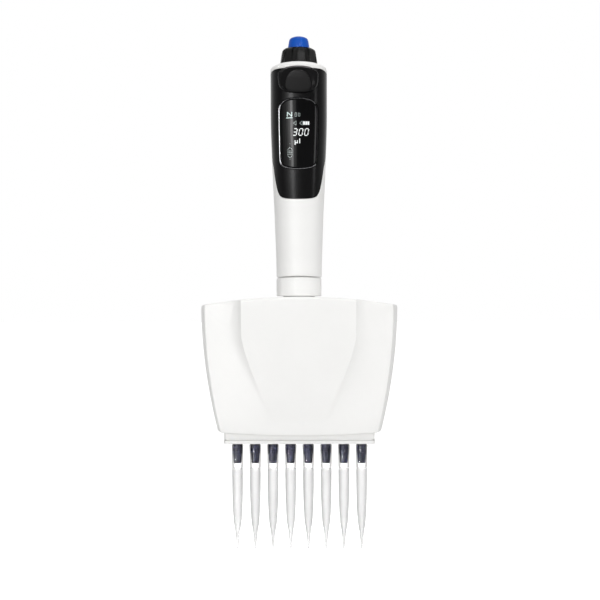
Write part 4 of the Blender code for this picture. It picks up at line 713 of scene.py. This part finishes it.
def make_figures():
    number = []
    for mark, x in (("3", 292.6), ("0", 298.4), ("0", 304.1)):
        number += digit(mark, x, 128.2)
    make_figure("number", number, 0.88)
    unit = [((294.9, 139.7), (294.9, 144.2)), ((294.9, 142.2), (297.0, 142.2))]
    unit += [((297.2, 139.7), (297.2, 142.7)), ((299.5, 137.9), (299.5, 142.7))]
    make_figure("unit", unit, 0.86)
    make_figure("battery", [((x, 120.9), (x, 124.3)) for x in (303.9, 306.1, 308.2)], 1.8)
    mode = [((286.0, 117.3), (292.4, 117.3)), ((287.2, 111.6), (291.6, 115.8))]
    mode += [((287.2, 111.4), (287.2, 115.9)), ((291.6, 111.4), (291.6, 115.9))]
    make_figure("mode", mode, 0.8, "figure_mint")
    dim = box_lines(294.9, 112.3, 296.5, 116.0) + box_lines(298.2, 112.6, 299.8, 115.8)
    for x in (293.2, 299.4):
        dim += [((x, 122.6), (x + 2.6, 120.6)), ((x, 122.6), (x + 2.6, 124.6))]
        dim += [((x + 2.8, 120.4), (x + 2.8, 124.8))]
    for y, side in ((149.0, 1), (154.9, -1)):
        dim += [((287.4, y), (289.7, y - side * 2.4)), ((289.7, y - side * 2.4), (292.0, y))]
    for y in (150.4, 151.95, 153.5):
        dim += [((287.0, y), (292.4, y))]
    dim += [((289.4, 142.9), (290.0, 142.9)), ((289.4, 158.6), (290.0, 158.6))]
    make_figure("marks", dim, 0.5, "figure_dim")


# Eject key, seen from the front as (x, z), from its top down the right side
KEY_POINTS = (
    (0.0, 242.5), (3.0, 242.35), (6.2, 241.75), (8.0, 240.6), (9.6, 239.4), (10.0, 238.4),
    (10.0, 236.6), (9.85, 234.8), (9.3, 232.7), (8.1, 231.1), (6.2, 230.1), (3.4, 229.5),
    (0.0, 229.4),
)
PAD_POINTS = (
    (0.0, 240.6), (2.4, 240.2), (4.5, 238.7), (5.7, 236.6), (6.4, 234.2), (6.5, 232.6),
    (5.9, 231.0), (4.5, 230.1), (2.4, 229.75), (0.0, 229.7),
)
# The key's face, as (height, distance in front of the axis)
KEY_FACE = (
    (229.0, 18.35), (231.0, 19.05), (234.0, 20.35), (237.0, 21.55), (239.5, 22.2), (241.0, 22.45),
    (243.0, 22.2),
)
KEY_COUNT = 128
KEY_CENTRE = 235.4
KEY_BULGE = 0.012
KEY_BROW = 240.9
BROW_HALF = 6.6


def key_face(x, z):
    """How far the thumb key's face is in front of the handle's axis."""
    k = next((i for i in range(1, len(KEY_FACE)) if KEY_FACE[i][0] >= z), len(KEY_FACE) - 1)
    (z0, y0), (z1, y1) = KEY_FACE[k - 1], KEY_FACE[k]
    t = (z - z0) / (z1 - z0)
    return y0 + (y1 - y0) * t - KEY_BULGE * x * x


def make_key():
    outline, pad = (smooth_loop(points, KEY_COUNT) for points in (KEY_POINTS, PAD_POINTS))
    rings = []

    def add(flat, drop):
        rings.append([(x, -key_face(x, z) + drop, z) for x, z in flat])

    def mix(share):
        pairs = zip(outline, pad)
        return [tuple(p + (q - p) * share for p, q in zip(a, b)) for a, b in pairs]

    for share in (0.1, 0.4, 0.7, 1.0):
        flat = scaled(outline, share, KEY_CENTRE)
        rings.append([(x, -front_depth(x, z) - SLIDE_GAP, z) for x, z in flat])
    for inset, drop in ((0.0, 1.1), (0.08, 0.6), (0.3, 0.22), (0.6, 0.04), (0.9, 0.0)):
        add(grown(outline, -inset), drop)
    for share, drop in ((0.42, 0.12), (0.6, 0.42), (0.8, 0.78), (0.93, 0.95), (1.0, 0.95)):
        add(mix(share), drop)
    for inset, drop in ((0.12, 0.72), (0.3, 0.58), (0.6, 0.52)):
        add(grown(pad, -inset), drop)
    for share, drop in ((0.8, 0.5), (0.55, 0.46), (0.3, 0.44), (0.08, 0.43)):
        add(scaled(pad, share, KEY_CENTRE), drop)
    for ring in rings[4:]:
        for i, (x, y, z) in enumerate(ring):
            ring[i] = (x, min(y, -front_depth(x, z) - SLIDE_GAP), z)
    half = KEY_STEM_HALF
    stem = block((-half, -18.0, KEY_STEM_LOW), (half, -9.7, KEY_STEM_TOP))
    shape = joined(loft(rings), stem)
    key = piece("thumb_key", shape, "black_plastic", "eject", ["eject_key"], angle=50.0)
    inside, brow = in_metres(pad), metres_up(KEY_BROW)

    def on_pad(centre, normal):
        return normal.y < -0.3 and centre.y < -0.040 and within(inside, centre.x, centre.z)

    def on_brow(centre, normal):
        if centre.z <= brow or abs(centre.x) >= BROW_HALF * MM:
            return False
        return normal.z > 0.1 and centre.y < -0.030

    # The pad is rougher and textured, and is also painted lighter than the key as a painted sheen
    paint(key, "key_pad_texture_and_sheen", on_pad)
    # The brow's upward faces are painted grey as a painted highlight
    paint(key, "key_brow_highlight", on_brow)


# Mode ring, button and lock ring
KNOB_BOTTOM = 246.1
KNOB_LOBES = 8
RING_LOBES = 9
RING_WIDE = 0.96
RING_FLAT = 0.35
LOBE_WIDE = 0.6
LOBE_EDGE = 0.12
RING_SIDES = 240
LOBE_PHASE = math.radians(9.0 - 90.0)
BUTTON_TOP = 260.0


def lobe_depth(turn, lobes):
    """0 on a lobe and 1 in the groove between two lobes."""
    place = ((turn - LOBE_PHASE) * lobes / (2 * math.pi)) % 1.0
    beyond = abs(place if place < 0.5 else place - 1.0) * 2
    edge = (beyond - LOBE_WIDE) / LOBE_EDGE
    return min(max(edge + 0.5, 0.0), 1.0)


def lobe_flat(turn, lobes, wide):
    """How much a flat face lies inside the round one, as a share of the radius."""
    period = 2 * math.pi / lobes
    away = ((turn - LOBE_PHASE + period / 2) % period) - period / 2
    half = period / 2 * wide
    if abs(away) > half:
        away = period / 2 - abs(away)
        half = period / 2 * (1 - wide)
    return 1 - math.cos(half) / math.cos(min(abs(away), half))


def lobed_ring(radius, height, lobes, wide, flat, depth=0.0, lift=0.0):
    """A ring with flat-faced lobes and grooves between them. lift raises its front and back."""
    ring = []
    for turn in turns(RING_SIDES):
        here = radius * (1 - flat * lobe_flat(turn, lobes, wide))
        here -= depth * lobe_depth(turn, lobes)
        rise = lift * math.sin(turn) ** 2
        ring.append((here * math.cos(turn), here * math.sin(turn), height + rise))
    return ring


def make_knob():
    profile = (
        (9.0, 0.0, 1.0, 0.4), (9.45, 0.2, 1.0, 0.5), (9.34, 1.2, 1.0, 0.65),
        (9.08, 3.0, 1.0, 0.85), (8.8, 4.8, 1.0, 1.05), (8.56, 6.1, 1.0, 1.25),
        (8.32, 6.7, 1.0, 1.3), (7.7, 7.2, 1.0, 1.3), (6.95, 7.65, 0.8, 1.1),
        (6.5, 7.85, 0.5, 0.7), (6.2, 7.9, 0.0, 0.3), (6.0, 7.85, 0.0, 0.0), (5.85, 7.7, 0.0, 0.0),
        (5.8, 7.5, 0.0, 0.0),
    )
    rings = [
        lobed_ring(radius, KNOB_BOTTOM + rise, KNOB_LOBES, LOBE_WIDE, flat, depth)
        for radius, rise, flat, depth in profile
    ]
    for radius, height in ((5.8, 238.9), (7.0, 238.9), (7.0, KNOB_BOTTOM)):
        rings.append(circle(radius, height, RING_SIDES))
    ring = loft(rings, closed=True)
    nodes = ["mode_knob"]
    piece("ribbed_ring", ring, "knob_black", "knob", nodes, angle=30.0)


def make_button():
    top = BUTTON_TOP
    outside = [
        (5.45, 254.0), (5.42, 254.6), (5.2, 256.0), (4.95, 257.4), (4.72, 258.2), (4.45, 258.7),
        (4.0, 259.1), (3.3, 259.46), (2.4, 259.76), (1.2, top),
    ]
    smooth = spline(outside, 5)
    inside = [(1.6, 241.6), (1.6, 258.0), (3.2, 258.0), (4.2, 254.0), (4.2, 249.8), (5.45, 249.8)]
    profile = [(0.0, 241.6)] + inside + smooth + [(0.0, top)]
    button = turned(profile, 96, closed=False)
    piece("button_cap", button, "blue_plastic", "button", ["dispense_button"])


def make_lock_ring():
    bottom, top, land = 128.2, 137.2, 137.58
    profile = (
        (10.9, bottom, 0.0), (11.25, bottom + 0.08, 0.3), (11.42, bottom + 0.3, 0.6),
        (11.48, bottom + 0.8, 1.0), (11.5, bottom + 2.5, 1.0), (11.5, bottom + 4.5, 1.0),
        (11.5, top - 2.0, 1.0), (11.48, top - 1.0, 1.0), (11.42, top - 0.45, 0.7),
        (11.2, top - 0.1, 0.4), (10.9, top, 0.0), (10.85, land, 0.0), (NECK_HOLE, land, 0.0),
        (NECK_HOLE, bottom, 0.0),
    )
    rings = []
    for radius, height, share in profile:
        lift = EDGE_ARCH if bottom + 4.0 < height <= top else 0.0
        flat = share * RING_FLAT
        rings.append(lobed_ring(radius, height, RING_LOBES, RING_WIDE, flat, lift=lift))
    piece("grip_ring", loft(rings, closed=True), "white_plastic", "ring", ["lock_ring"], angle=45.0)


# Manifold covers
COVER_BOTTOM = 57.9
COVER_TOP = 127.9
COVER_HALF = 49.8
COVER_TAPER = 8.3
COVER_WALL = 2.0
TOP_ARCH = 4.3
FOOT_ARCH = 2.4
BOSS_HALF = 28.8
BOSS_STRAIGHT = 19.0
BOSS_TAPER = 0.66
BOSS_END = 65.7
BOSS_RISE = 4.2
BOSS_RAMP = 8.0
BOSS_SCOOP = 4.2
CREASE_END = 79.0
FRONT_DIP = 1.6
SIDE_DRAFT = 2.2
FOOT_DRAFT = 1.8
SIDE_WALL = 1.3
SIDE_RADIUS = 0.8
SEAM = 0.15
SCREW_X = 43.3
SCREW_Z = 108.4
SCREW_SIDES = 48
SCREW_HEX = 1.05


def cover_half_width(z):
    share = (COVER_TOP - z) / (COVER_TOP - COVER_BOTTOM)
    return COVER_HALF - COVER_TAPER * max(share, 0.0) ** 2.0


def boss_half_width(z):
    share = (COVER_TOP - BOSS_STRAIGHT - z) / (COVER_TOP - BOSS_STRAIGHT - COVER_BOTTOM)
    return BOSS_HALF * (1 - BOSS_TAPER * max(share, 0.0) ** 1.3)


def cover_depth(x, z, ramp=BOSS_RAMP, dip=0.0):
    """How far a cover's face stands from the seam between the covers."""
    share = (z - COVER_BOTTOM) / (COVER_TOP - COVER_BOTTOM)
    wing = 10.4 + 2.6 * share - 0.5 * max(1 - share / 0.16, 0.0) ** 2
    lifted = max((z - BOSS_END) / (COVER_TOP - BOSS_END), 0.0) ** 0.8
    beyond = max(abs(x) - boss_half_width(z), 0.0)
    crown = 0.6 * (1 - (x / COVER_HALF) ** 2)
    near = math.exp(-beyond / ramp)
    return wing + crown + lifted * (BOSS_RISE * near - dip * (1 - near))


def cover_row(share, inset, wall, dip):
    """One row of a cover, from the left seam over the face to the right seam."""
    z = COVER_BOTTOM + share * (COVER_TOP - COVER_BOTTOM)
    full = cover_half_width(z)
    half = full - min(wall, SIDE_WALL) - inset
    draft = FOOT_DRAFT + (SIDE_DRAFT - FOOT_DRAFT) * share
    edge = half - draft - SIDE_RADIUS
    boss = boss_half_width(z) * half / full
    across = [boss * part / 14 for part in range(15)]
    across += [boss + (edge - boss) * (part / 16) ** 1.5 for part in range(1, 17)]
    ramp = BOSS_RAMP if wall else BOSS_SCOOP
    right = [(x, cover_depth(x, z, ramp, dip) - wall - inset) for x in across]
    face = right[-1][1]
    for step in range(1, 6):
        turn = math.radians(80 * step / 5)
        x0 = edge + SIDE_RADIUS * math.sin(turn)
        right.append((x0, face - SIDE_RADIUS * (1 - math.cos(turn))))
    x0, y0 = right[-1]
    for part in (0.33, 0.67, 1.0):
        right.append((x0 + (half - x0) * part, y0 + (SEAM - y0) * part))
    row = []
    for x, depth in [(-x, depth) for x, depth in reversed(right[1:])] + right:
        spread = (x / COVER_HALF) ** 2
        low = COVER_BOTTOM + FOOT_ARCH * spread
        high = COVER_TOP - TOP_ARCH * spread - wall
        row.append((x, depth, low + share * (high - low)))
    return row


def cover_shape(side):
    """An outer and an inner skin, joined at the seam and at the foot."""
    rows_out = [(0.0, 0.5), (0.002, 0.22), (0.006, 0.05), (0.012, 0.0)]
    rows_out += [(share, 0.0) for share in heights(0.04, 0.96, 40)]
    rows_out += [(0.978, 0.0), (0.988, 0.08), (0.995, 0.3), (0.999, 0.62), (1.0, 1.0)]
    rows_in = [(share, 0.0) for share in heights(0.0, 1.0, 20)]
    points, faces, skins = [], [], []
    for rows, wall in ((rows_out, 0.0), (rows_in, COVER_WALL)):
        dip = FRONT_DIP if side < 0 and not wall else 0.0
        grid = []
        for share, inset in rows:
            row = []
            for x, depth, z in cover_row(share, inset, wall, dip):
                row.append(len(points))
                points.append((x, side * depth, z))
            grid.append(row)
        top = grid[-1]
        lid = [top[0]]
        for i in top[1:-1]:
            lid.append(len(points))
            points.append((points[i][0], side * SEAM, points[i][2]))
        lid.append(top[-1])
        for lower, upper in zip(grid, grid[1:] + [lid]):
            for i in range(len(lower) - 1):
                corners = (lower[i], lower[i + 1], upper[i + 1], upper[i])
                faces.append(tuple(dict.fromkeys(corners)))
        rim = [row[0] for row in grid[:-1]] + lid + [row[-1] for row in reversed(grid[:-1])]
        skins.append((grid[0], rim))
    (foot, outer), (inner_foot, inner) = skins
    for i in range(len(foot) - 1):
        faces.append((foot[i], foot[i + 1], inner_foot[i + 1], inner_foot[i]))
    return points, faces + bridge(points, outer, inner)


def crease_boss(cover):
    """Keeps the boss's two long edges crisp, down to where they fade out."""
    for edge in cover.data.edges:
        ends = [cover.data.vertices[i].co / MM for i in edge.vertices]
        places = [(abs(end.x), end.z + SEAT_HEIGHT) for end in ends]
        on_edge = all(abs(x - boss_half_width(z)) < 0.06 and z > CREASE_END for x, z in places)
        if on_edge and abs(ends[0].x - ends[1].x) < 0.5 and abs(ends[0].y + SEAT_DISTANCE) > 11.0:
            edge.use_edge_sharp = True


def bridge(points, first, second):
    """Triangles between two open chains of points that run the same way."""
    faces, i, j = [], 0, 0
    while i < len(first) - 1 or j < len(second) - 1:
        ahead = i < len(first) - 1
        if ahead and j < len(second) - 1:
            one = math.dist(points[first[i + 1]], points[second[j]])
            ahead = one <= math.dist(points[first[i]], points[second[j + 1]])
        if ahead:
            faces.append((first[i], first[i + 1], second[j]))
            i += 1
        else:
            faces.append((first[i], second[j + 1], second[j]))
            j += 1
    return faces


def cylinder(radius, low, high, sides, x=0.0):
    return loft([circle(radius, z, sides, x) for z in (low, high)])


def at_screw(x, shape):
    """A shape drawn upright on the axis, laid back into the rear cover's screw."""
    points, faces = shape
    return [(x + a, height, SCREW_Z + b) for a, b, height in points], faces


def make_covers():
    depth = cover_depth(SCREW_X, SCREW_Z)
    neck = cylinder(NECK_HOLE, 120.0, 135.0, 64)
    recess = cylinder(2.5, depth - 1.5, FAR, 32)
    recesses = [at_screw(x, recess) for x in (-SCREW_X, SCREW_X)]
    for name, side, cuts in (("front_cover", -1, [neck]), ("rear_cover", 1, [neck, *recesses])):
        nodes = [f"manifold_{name}"]
        shape = cover_shape(side)
        cover = piece(name, shape, "white_plastic", "manifold", nodes, angle=28.0, cuts=cuts)
        crease_boss(cover)
    reach, seat = -0.6 * depth, depth - 1.2
    profile = [(0.0, reach), (1.1, reach), (1.1, seat), (2.2, seat), (2.2, depth - 0.3)]
    profile += [(2.1, depth - 0.1), (1.85, depth)]
    rings = [circle(max(r, AXIS_RADIUS), z, SCREW_SIDES) for r, z in profile]
    for z in (depth, depth - 0.8):
        ring = []
        for turn in turns(SCREW_SIDES):
            away = (turn + math.pi / 6) % (math.pi / 3) - math.pi / 6
            flat = SCREW_HEX / math.cos(away)
            ring.append((flat * math.cos(turn), flat * math.sin(turn), z))
        rings.append(ring)
    for name, x in (("left", -SCREW_X), ("right", SCREW_X)):
        screw = at_screw(x, loft(rings))
        piece(f"screw_{name}", screw, "steel", "manifold", [f"cover_screw_{name}"])


def rounded_plan(half, depth, radius, z, inset):
    """A horizontal rectangle with rounded corners."""
    half, depth, radius = half - inset, depth - inset, max(radius - inset, 0.2)
    ring = []
    for quarter, (sx, sy) in enumerate(((1, 1), (-1, 1), (-1, -1), (1, -1))):
        for step in range(9):
            turn = math.radians(90 * (quarter + step / 8))
            x = sx * (half - radius) + radius * math.cos(turn)
            y = sy * (depth - radius) + radius * math.sin(turn)
            ring.append((x, y, z))
    return ring


# Ejector bar, nozzles and tips
BAR_HALF = 38.3
BAR_CORNER = 1.9
BAR_HOLE = 2.9
CHANNELS = [i * 9.0 - 31.5 for i in range(8)]
TIP_TOP = 52.8
TIP_COLLAR = 40.5
TIP_SIDES = 48
NOZZLE_END = 43.4


def make_ejector_bar():
    depth = cover_depth(BAR_HALF, COVER_BOTTOM) - COVER_WALL - 0.5
    rows = ((53.65, 0.35), (53.75, 0.1), (53.95, 0.0), (55.2, 0.0), (55.35, 0.12), (55.4, 1.3))
    rows += ((55.9, 1.3), (55.95, 0.35), (56.15, 0.25), (61.3, 0.25), (61.5, 0.45))
    rings = [rounded_plan(BAR_HALF, depth + 0.3, BAR_CORNER, z, inset) for z, inset in rows]
    holes = [cylinder(BAR_HOLE, 50.0, 65.0, 40, x) for x in CHANNELS]
    piece("eject_bar", loft(rings), "white_plastic", "ejector", ["ejector_bar"], cuts=holes)


def paint_above(obj, finish, height):
    paint(obj, finish, lambda centre, normal: centre.z > metres_up(height))


def make_nozzles():
    end, rib = NOZZLE_END, 48.3
    profile = [(0.9, end), (1.6, end), (1.9, end + 0.2), (2.02, end + 0.7), (2.14, 45.8), (2.27, 47.8)]
    for z in (rib, 49.4, 50.5):
        base = 2.38 + (z - rib) * 0.05
        profile += [(base, z), (base + 0.16, z + 0.12), (base + 0.2, z + 0.3)]
        profile += [(base + 0.16, z + 0.48), (base, z + 0.6)]
    profile += [(2.5, 51.6), (2.56, 52.5), (2.62, 53.0), (2.62, 62.0), (3.5, 62.0), (3.7, 62.2)]
    profile += [(3.7, 64.2), (3.5, 64.4), (0.9, 64.4)]
    for i, x in enumerate(CHANNELS):
        name = f"nozzle_{i + 1}"
        shape = turned(profile, 40, x=x)
        nozzle = piece(f"fine_{name}", shape, "dark_polymer", "manifold", [name], angle=50.0)
        paint_above(nozzle, "black_plastic", TIP_TOP)


def make_tips():
    outside = [
        (0.46, 0.0), (0.5, 1.0), (0.72, 4.0), (1.2, 8.6), (1.82, 12.4), (2.06, 14.3),
        (2.34, 18.5), (2.57, 23.5), (2.72, 29.0), (2.79, 35.0), (2.81, 39.2),
    ]
    inside = [
        (2.13, 39.4), (2.1, 35.0), (2.04, 29.0), (1.9, 23.5), (1.68, 18.5), (1.44, 14.3),
        (1.24, 12.4), (0.7, 8.6), (0.36, 4.0), (0.22, 1.0), (0.2, 0.0),
    ]
    collar = [(2.92, 42.4), (2.96, 45.0), (3.06, 49.0), (3.12, 51.4), (3.17, 51.8), (3.2, 52.1)]
    collar += [(3.2, 52.6), (3.12, TIP_TOP), (2.85, TIP_TOP), (2.75, 52.6), (2.72, 50.0)]
    collar += [(2.54, 45.0), (2.42, 42.4), (2.3, 40.9)]
    rings = [(r, z, 0.0) for r, z in spline(outside, 3)]
    rings += [(2.82, 39.7, 0.5), (2.86, 40.3, 0.9), (2.94, 40.9, 1.0), (2.98, 41.6, 0.6)]
    rings += [(r, z, 0.0) for r, z in collar + inside]
    for i, x in enumerate(CHANNELS):
        made = []
        for radius, z, wave in rings:
            ring = []
            for turn in turns(TIP_SIDES):
                scallop = abs(math.cos(3 * turn + 0.4))
                here = radius - 0.1 * wave * scallop
                lift = wave * (scallop - 0.55)
                ring.append((x + here * math.cos(turn), here * math.sin(turn), z + lift))
            made.append(ring)
        name = f"tip_{i + 1}"
        shape = loft(made, closed=True)
        tip = piece(f"fine_{name}", shape, "clear_plastic", "tips", [name], angle=60.0)
        paint_above(tip, "clear_collar", TIP_COLLAR)


# Finger hook and charging socket
HOOK_HALF = 7.0
HOOK_RADIUS = 1.2
CONTACT_PITCH = 1.3
CONTACT_HALF = 0.3


def make_hook():
    """The finger hook, with its edges rounded off sideways."""
    outer = ((16.2, 7.6), (20.0, 6.8), (30.0, 5.0), (36.0, 0.5), (37.5, -7.0))
    tip = ((37.2, -9.2), (36.6, -9.9), (35.6, -10.0), (34.4, -9.5), (33.3, -7.5))
    under = ((32.6, -3.0), (31.6, -0.9), (30.0, 0.0), (20.0, 0.0), (16.2, -3.2))
    outer, edge = ([(y, SEAT_HEIGHT + z) for y, z in part] for part in (outer, tip + under))
    outline = spline(outer, 8) + edge
    rings = []
    for step in (*range(-6, 0), *range(1, 7)):
        turn = math.radians(abs(step) * 15)
        x = math.copysign(HOOK_HALF - HOOK_RADIUS * (1 - math.sin(turn)), step)
        flat = grown(outline, -HOOK_RADIUS * (1 - math.cos(turn)))
        rings.append([(x, y, z) for y, z in flat])
    piece("hook_shell", loft(rings), "white_plastic", "handle", ["finger_hook"], angle=50.0)


def make_socket():
    """Five gold contacts inside the charging socket."""
    contacts = []
    for i in range(5):
        x = (i - 2) * CONTACT_PITCH
        contacts.append(block((x - CONTACT_HALF, 10.3, 196.9), (x + CONTACT_HALF, 14.6, 197.3)))
    piece("socket_contacts", joined(*contacts), "contact_gold", "handle")


# Lamps: azimuth, distance, height, height aimed at, width, length, power, spread, what they reach
STRIPS = ((-9.0, 0.1), (-18.0, 0.62), (-27.0, 0.22), (-36.0, 0.1), (-46.0, 0.05), (-56.0, 0.03))
LAMPS = {
    f"strip_{i}": (azimuth, 1.2, 0.255, 0.21, 0.19, 0.36, power, 40.0, "gloss")
    for i, (azimuth, power) in enumerate(STRIPS)
} | {
    "strip_right": (68.0, 1.2, 0.25, 0.21, 0.2, 0.34, 0.14, 40.0, "gloss"),
    "strip_high": (28.0, 1.2, 0.8, 0.25, 0.22, 0.2, 0.12, 22.0, "gloss"),
    "front_left": (-38.0, 1.2, 0.18, 0.15, 0.3, 0.3, 0.28, 180.0, "matte"),
    "front_right": (38.0, 1.2, 0.18, 0.15, 0.3, 0.3, 0.62, 180.0, "matte"),
    "soft_top": (8.0, 1.05, 0.93, 0.17, 0.6, 0.5, 1.0, 180.0, "both"),
    "overhead": (0.0, 0.5, 1.3, 0.17, 0.8, 0.6, 5.0, 180.0, "both"),
    "front": (8.0, 1.2, 0.14, 0.14, 0.34, 0.24, 3.75, 180.0, "matte"),
    "nozzles": (-34.0, 0.35, 0.0, 0.05, 0.06, 0.04, 0.17, 60.0, "gloss"),
}
WHITE = (1.0, 1.0, 1.0, 1.0)
WORLD_LIGHT = 0.5
FLOOR_LEVEL = -40.0
FLOOR_HALF = 12.0
FLOOR_GLOW = 0.85


def around(azimuth, distance, height):
    """A place round the pipette. Azimuth 0 is in front of it, and goes round to the right."""
    turn = math.radians(azimuth)
    y = -SEAT_DISTANCE * MM - distance * math.cos(turn)
    return distance * math.sin(turn), y, height - SEAT_HEIGHT * MM


def make_lamp(name, azimuth, distance, height, aim, width, length, power, spread, reach):
    """A soft box that the camera doesn't see. It reaches matte surfaces, gloss or both."""
    data = bpy.data.lights.new(name, "AREA")
    data.shape = "RECTANGLE"
    data.size = width
    data.size_y = length
    data.energy = power
    data.spread = math.radians(spread)
    lamp = add_object(name, data)
    lamp.location = place = around(azimuth, distance, height)
    x, y, z = (a - b for a, b in zip(around(0.0, 0.0, aim), place))
    tilt = math.pi / 2 + math.atan2(z, math.hypot(x, y))
    lamp.rotation_euler = (tilt, 0.0, math.atan2(-x, y))
    lamp.visible_camera = False
    lamp.visible_diffuse = reach != "gloss"
    lamp.visible_glossy = reach != "matte"


def seen_directly(tree):
    """1 for rays that show the background to the camera, gloss or glass, and 0 for the rest."""
    path = tree.nodes.new("ShaderNodeLightPath")
    seen = path.outputs["Is Camera Ray"]
    for ray in ("Is Glossy Ray", "Is Transmission Ray"):
        either = tree.nodes.new("ShaderNodeMath")
        either.operation = "MAXIMUM"
        tree.links.new(seen, either.inputs[0])
        tree.links.new(path.outputs[ray], either.inputs[1])
        seen = either.outputs[0]
    return seen


def make_world():
    """White where it is seen, and a plain level of light on the object."""
    studio = bpy.data.worlds.new("studio")
    bpy.context.scene.world = studio
    studio.use_nodes = True
    tree = studio.node_tree
    tree.nodes.clear()
    seen = seen_directly(tree)
    level = add_node(tree, "ShaderNodeMapRange", Value=seen, To_Min=WORLD_LIGHT, To_Max=1.0)
    light = level.outputs["Result"]
    background = add_node(tree, "ShaderNodeBackground", Color=WHITE, Strength=light)
    add_node(tree, "ShaderNodeOutputWorld", Surface=background.outputs[0])


def floor_material():
    """A pale floor that shows white to the camera and keeps the object's shadow."""
    nodes = Nodes("pale_floor")
    nodes.link(nodes.ramp(nodes.noise(3.0), (0.78, 0.78, 0.775), (0.8, 0.8, 0.795)), "Base Color")
    nodes.set(Roughness=0.8)
    nodes.link(nodes.between(seen_directly(nodes.tree), 0.0, FLOOR_GLOW), "Emission Strength")
    nodes.set(Emission_Color=WHITE)
    return nodes.material


def make_floor():
    level = metres_up(FLOOR_LEVEL)
    corners = [(x * FLOOR_HALF, y * FLOOR_HALF, level) for x, y in ((-1, -1), (1, -1), (1, 1), (-1, 1))]
    mesh = bpy.data.meshes.new("floor")
    mesh.from_pydata(corners, [], [(0, 1, 2, 3)])
    mesh.materials.append(floor_material())
    floor = add_object("floor", mesh)


def finish_carried_nodes():
    """The CAD nodes that stay get the material of their slot."""
    slots = {part["node"]: part["material_slot"] for part in frame["record"]["subparts"]}
    for name, obj in frame["nodes"].items():
        finish = FINISH[slots[name]]
        if not obj.material_slots:
            obj.data.materials.append(finish)
        for material_slot in obj.material_slots:
            material_slot.material = finish


def main():
    bpy.context.scene.view_settings.view_transform = "Standard"
    make_camera()
    finish_carried_nodes()
    make_housing()
    make_panel()
    make_display()
    make_figures()
    make_key()
    make_knob()
    make_button()
    make_lock_ring()
    make_covers()
    make_ejector_bar()
    make_nozzles()
    make_tips()
    make_hook()
    make_socket()
    for name, values in LAMPS.items():
        make_lamp(name, *values)
    make_world()
    make_floor()


main()
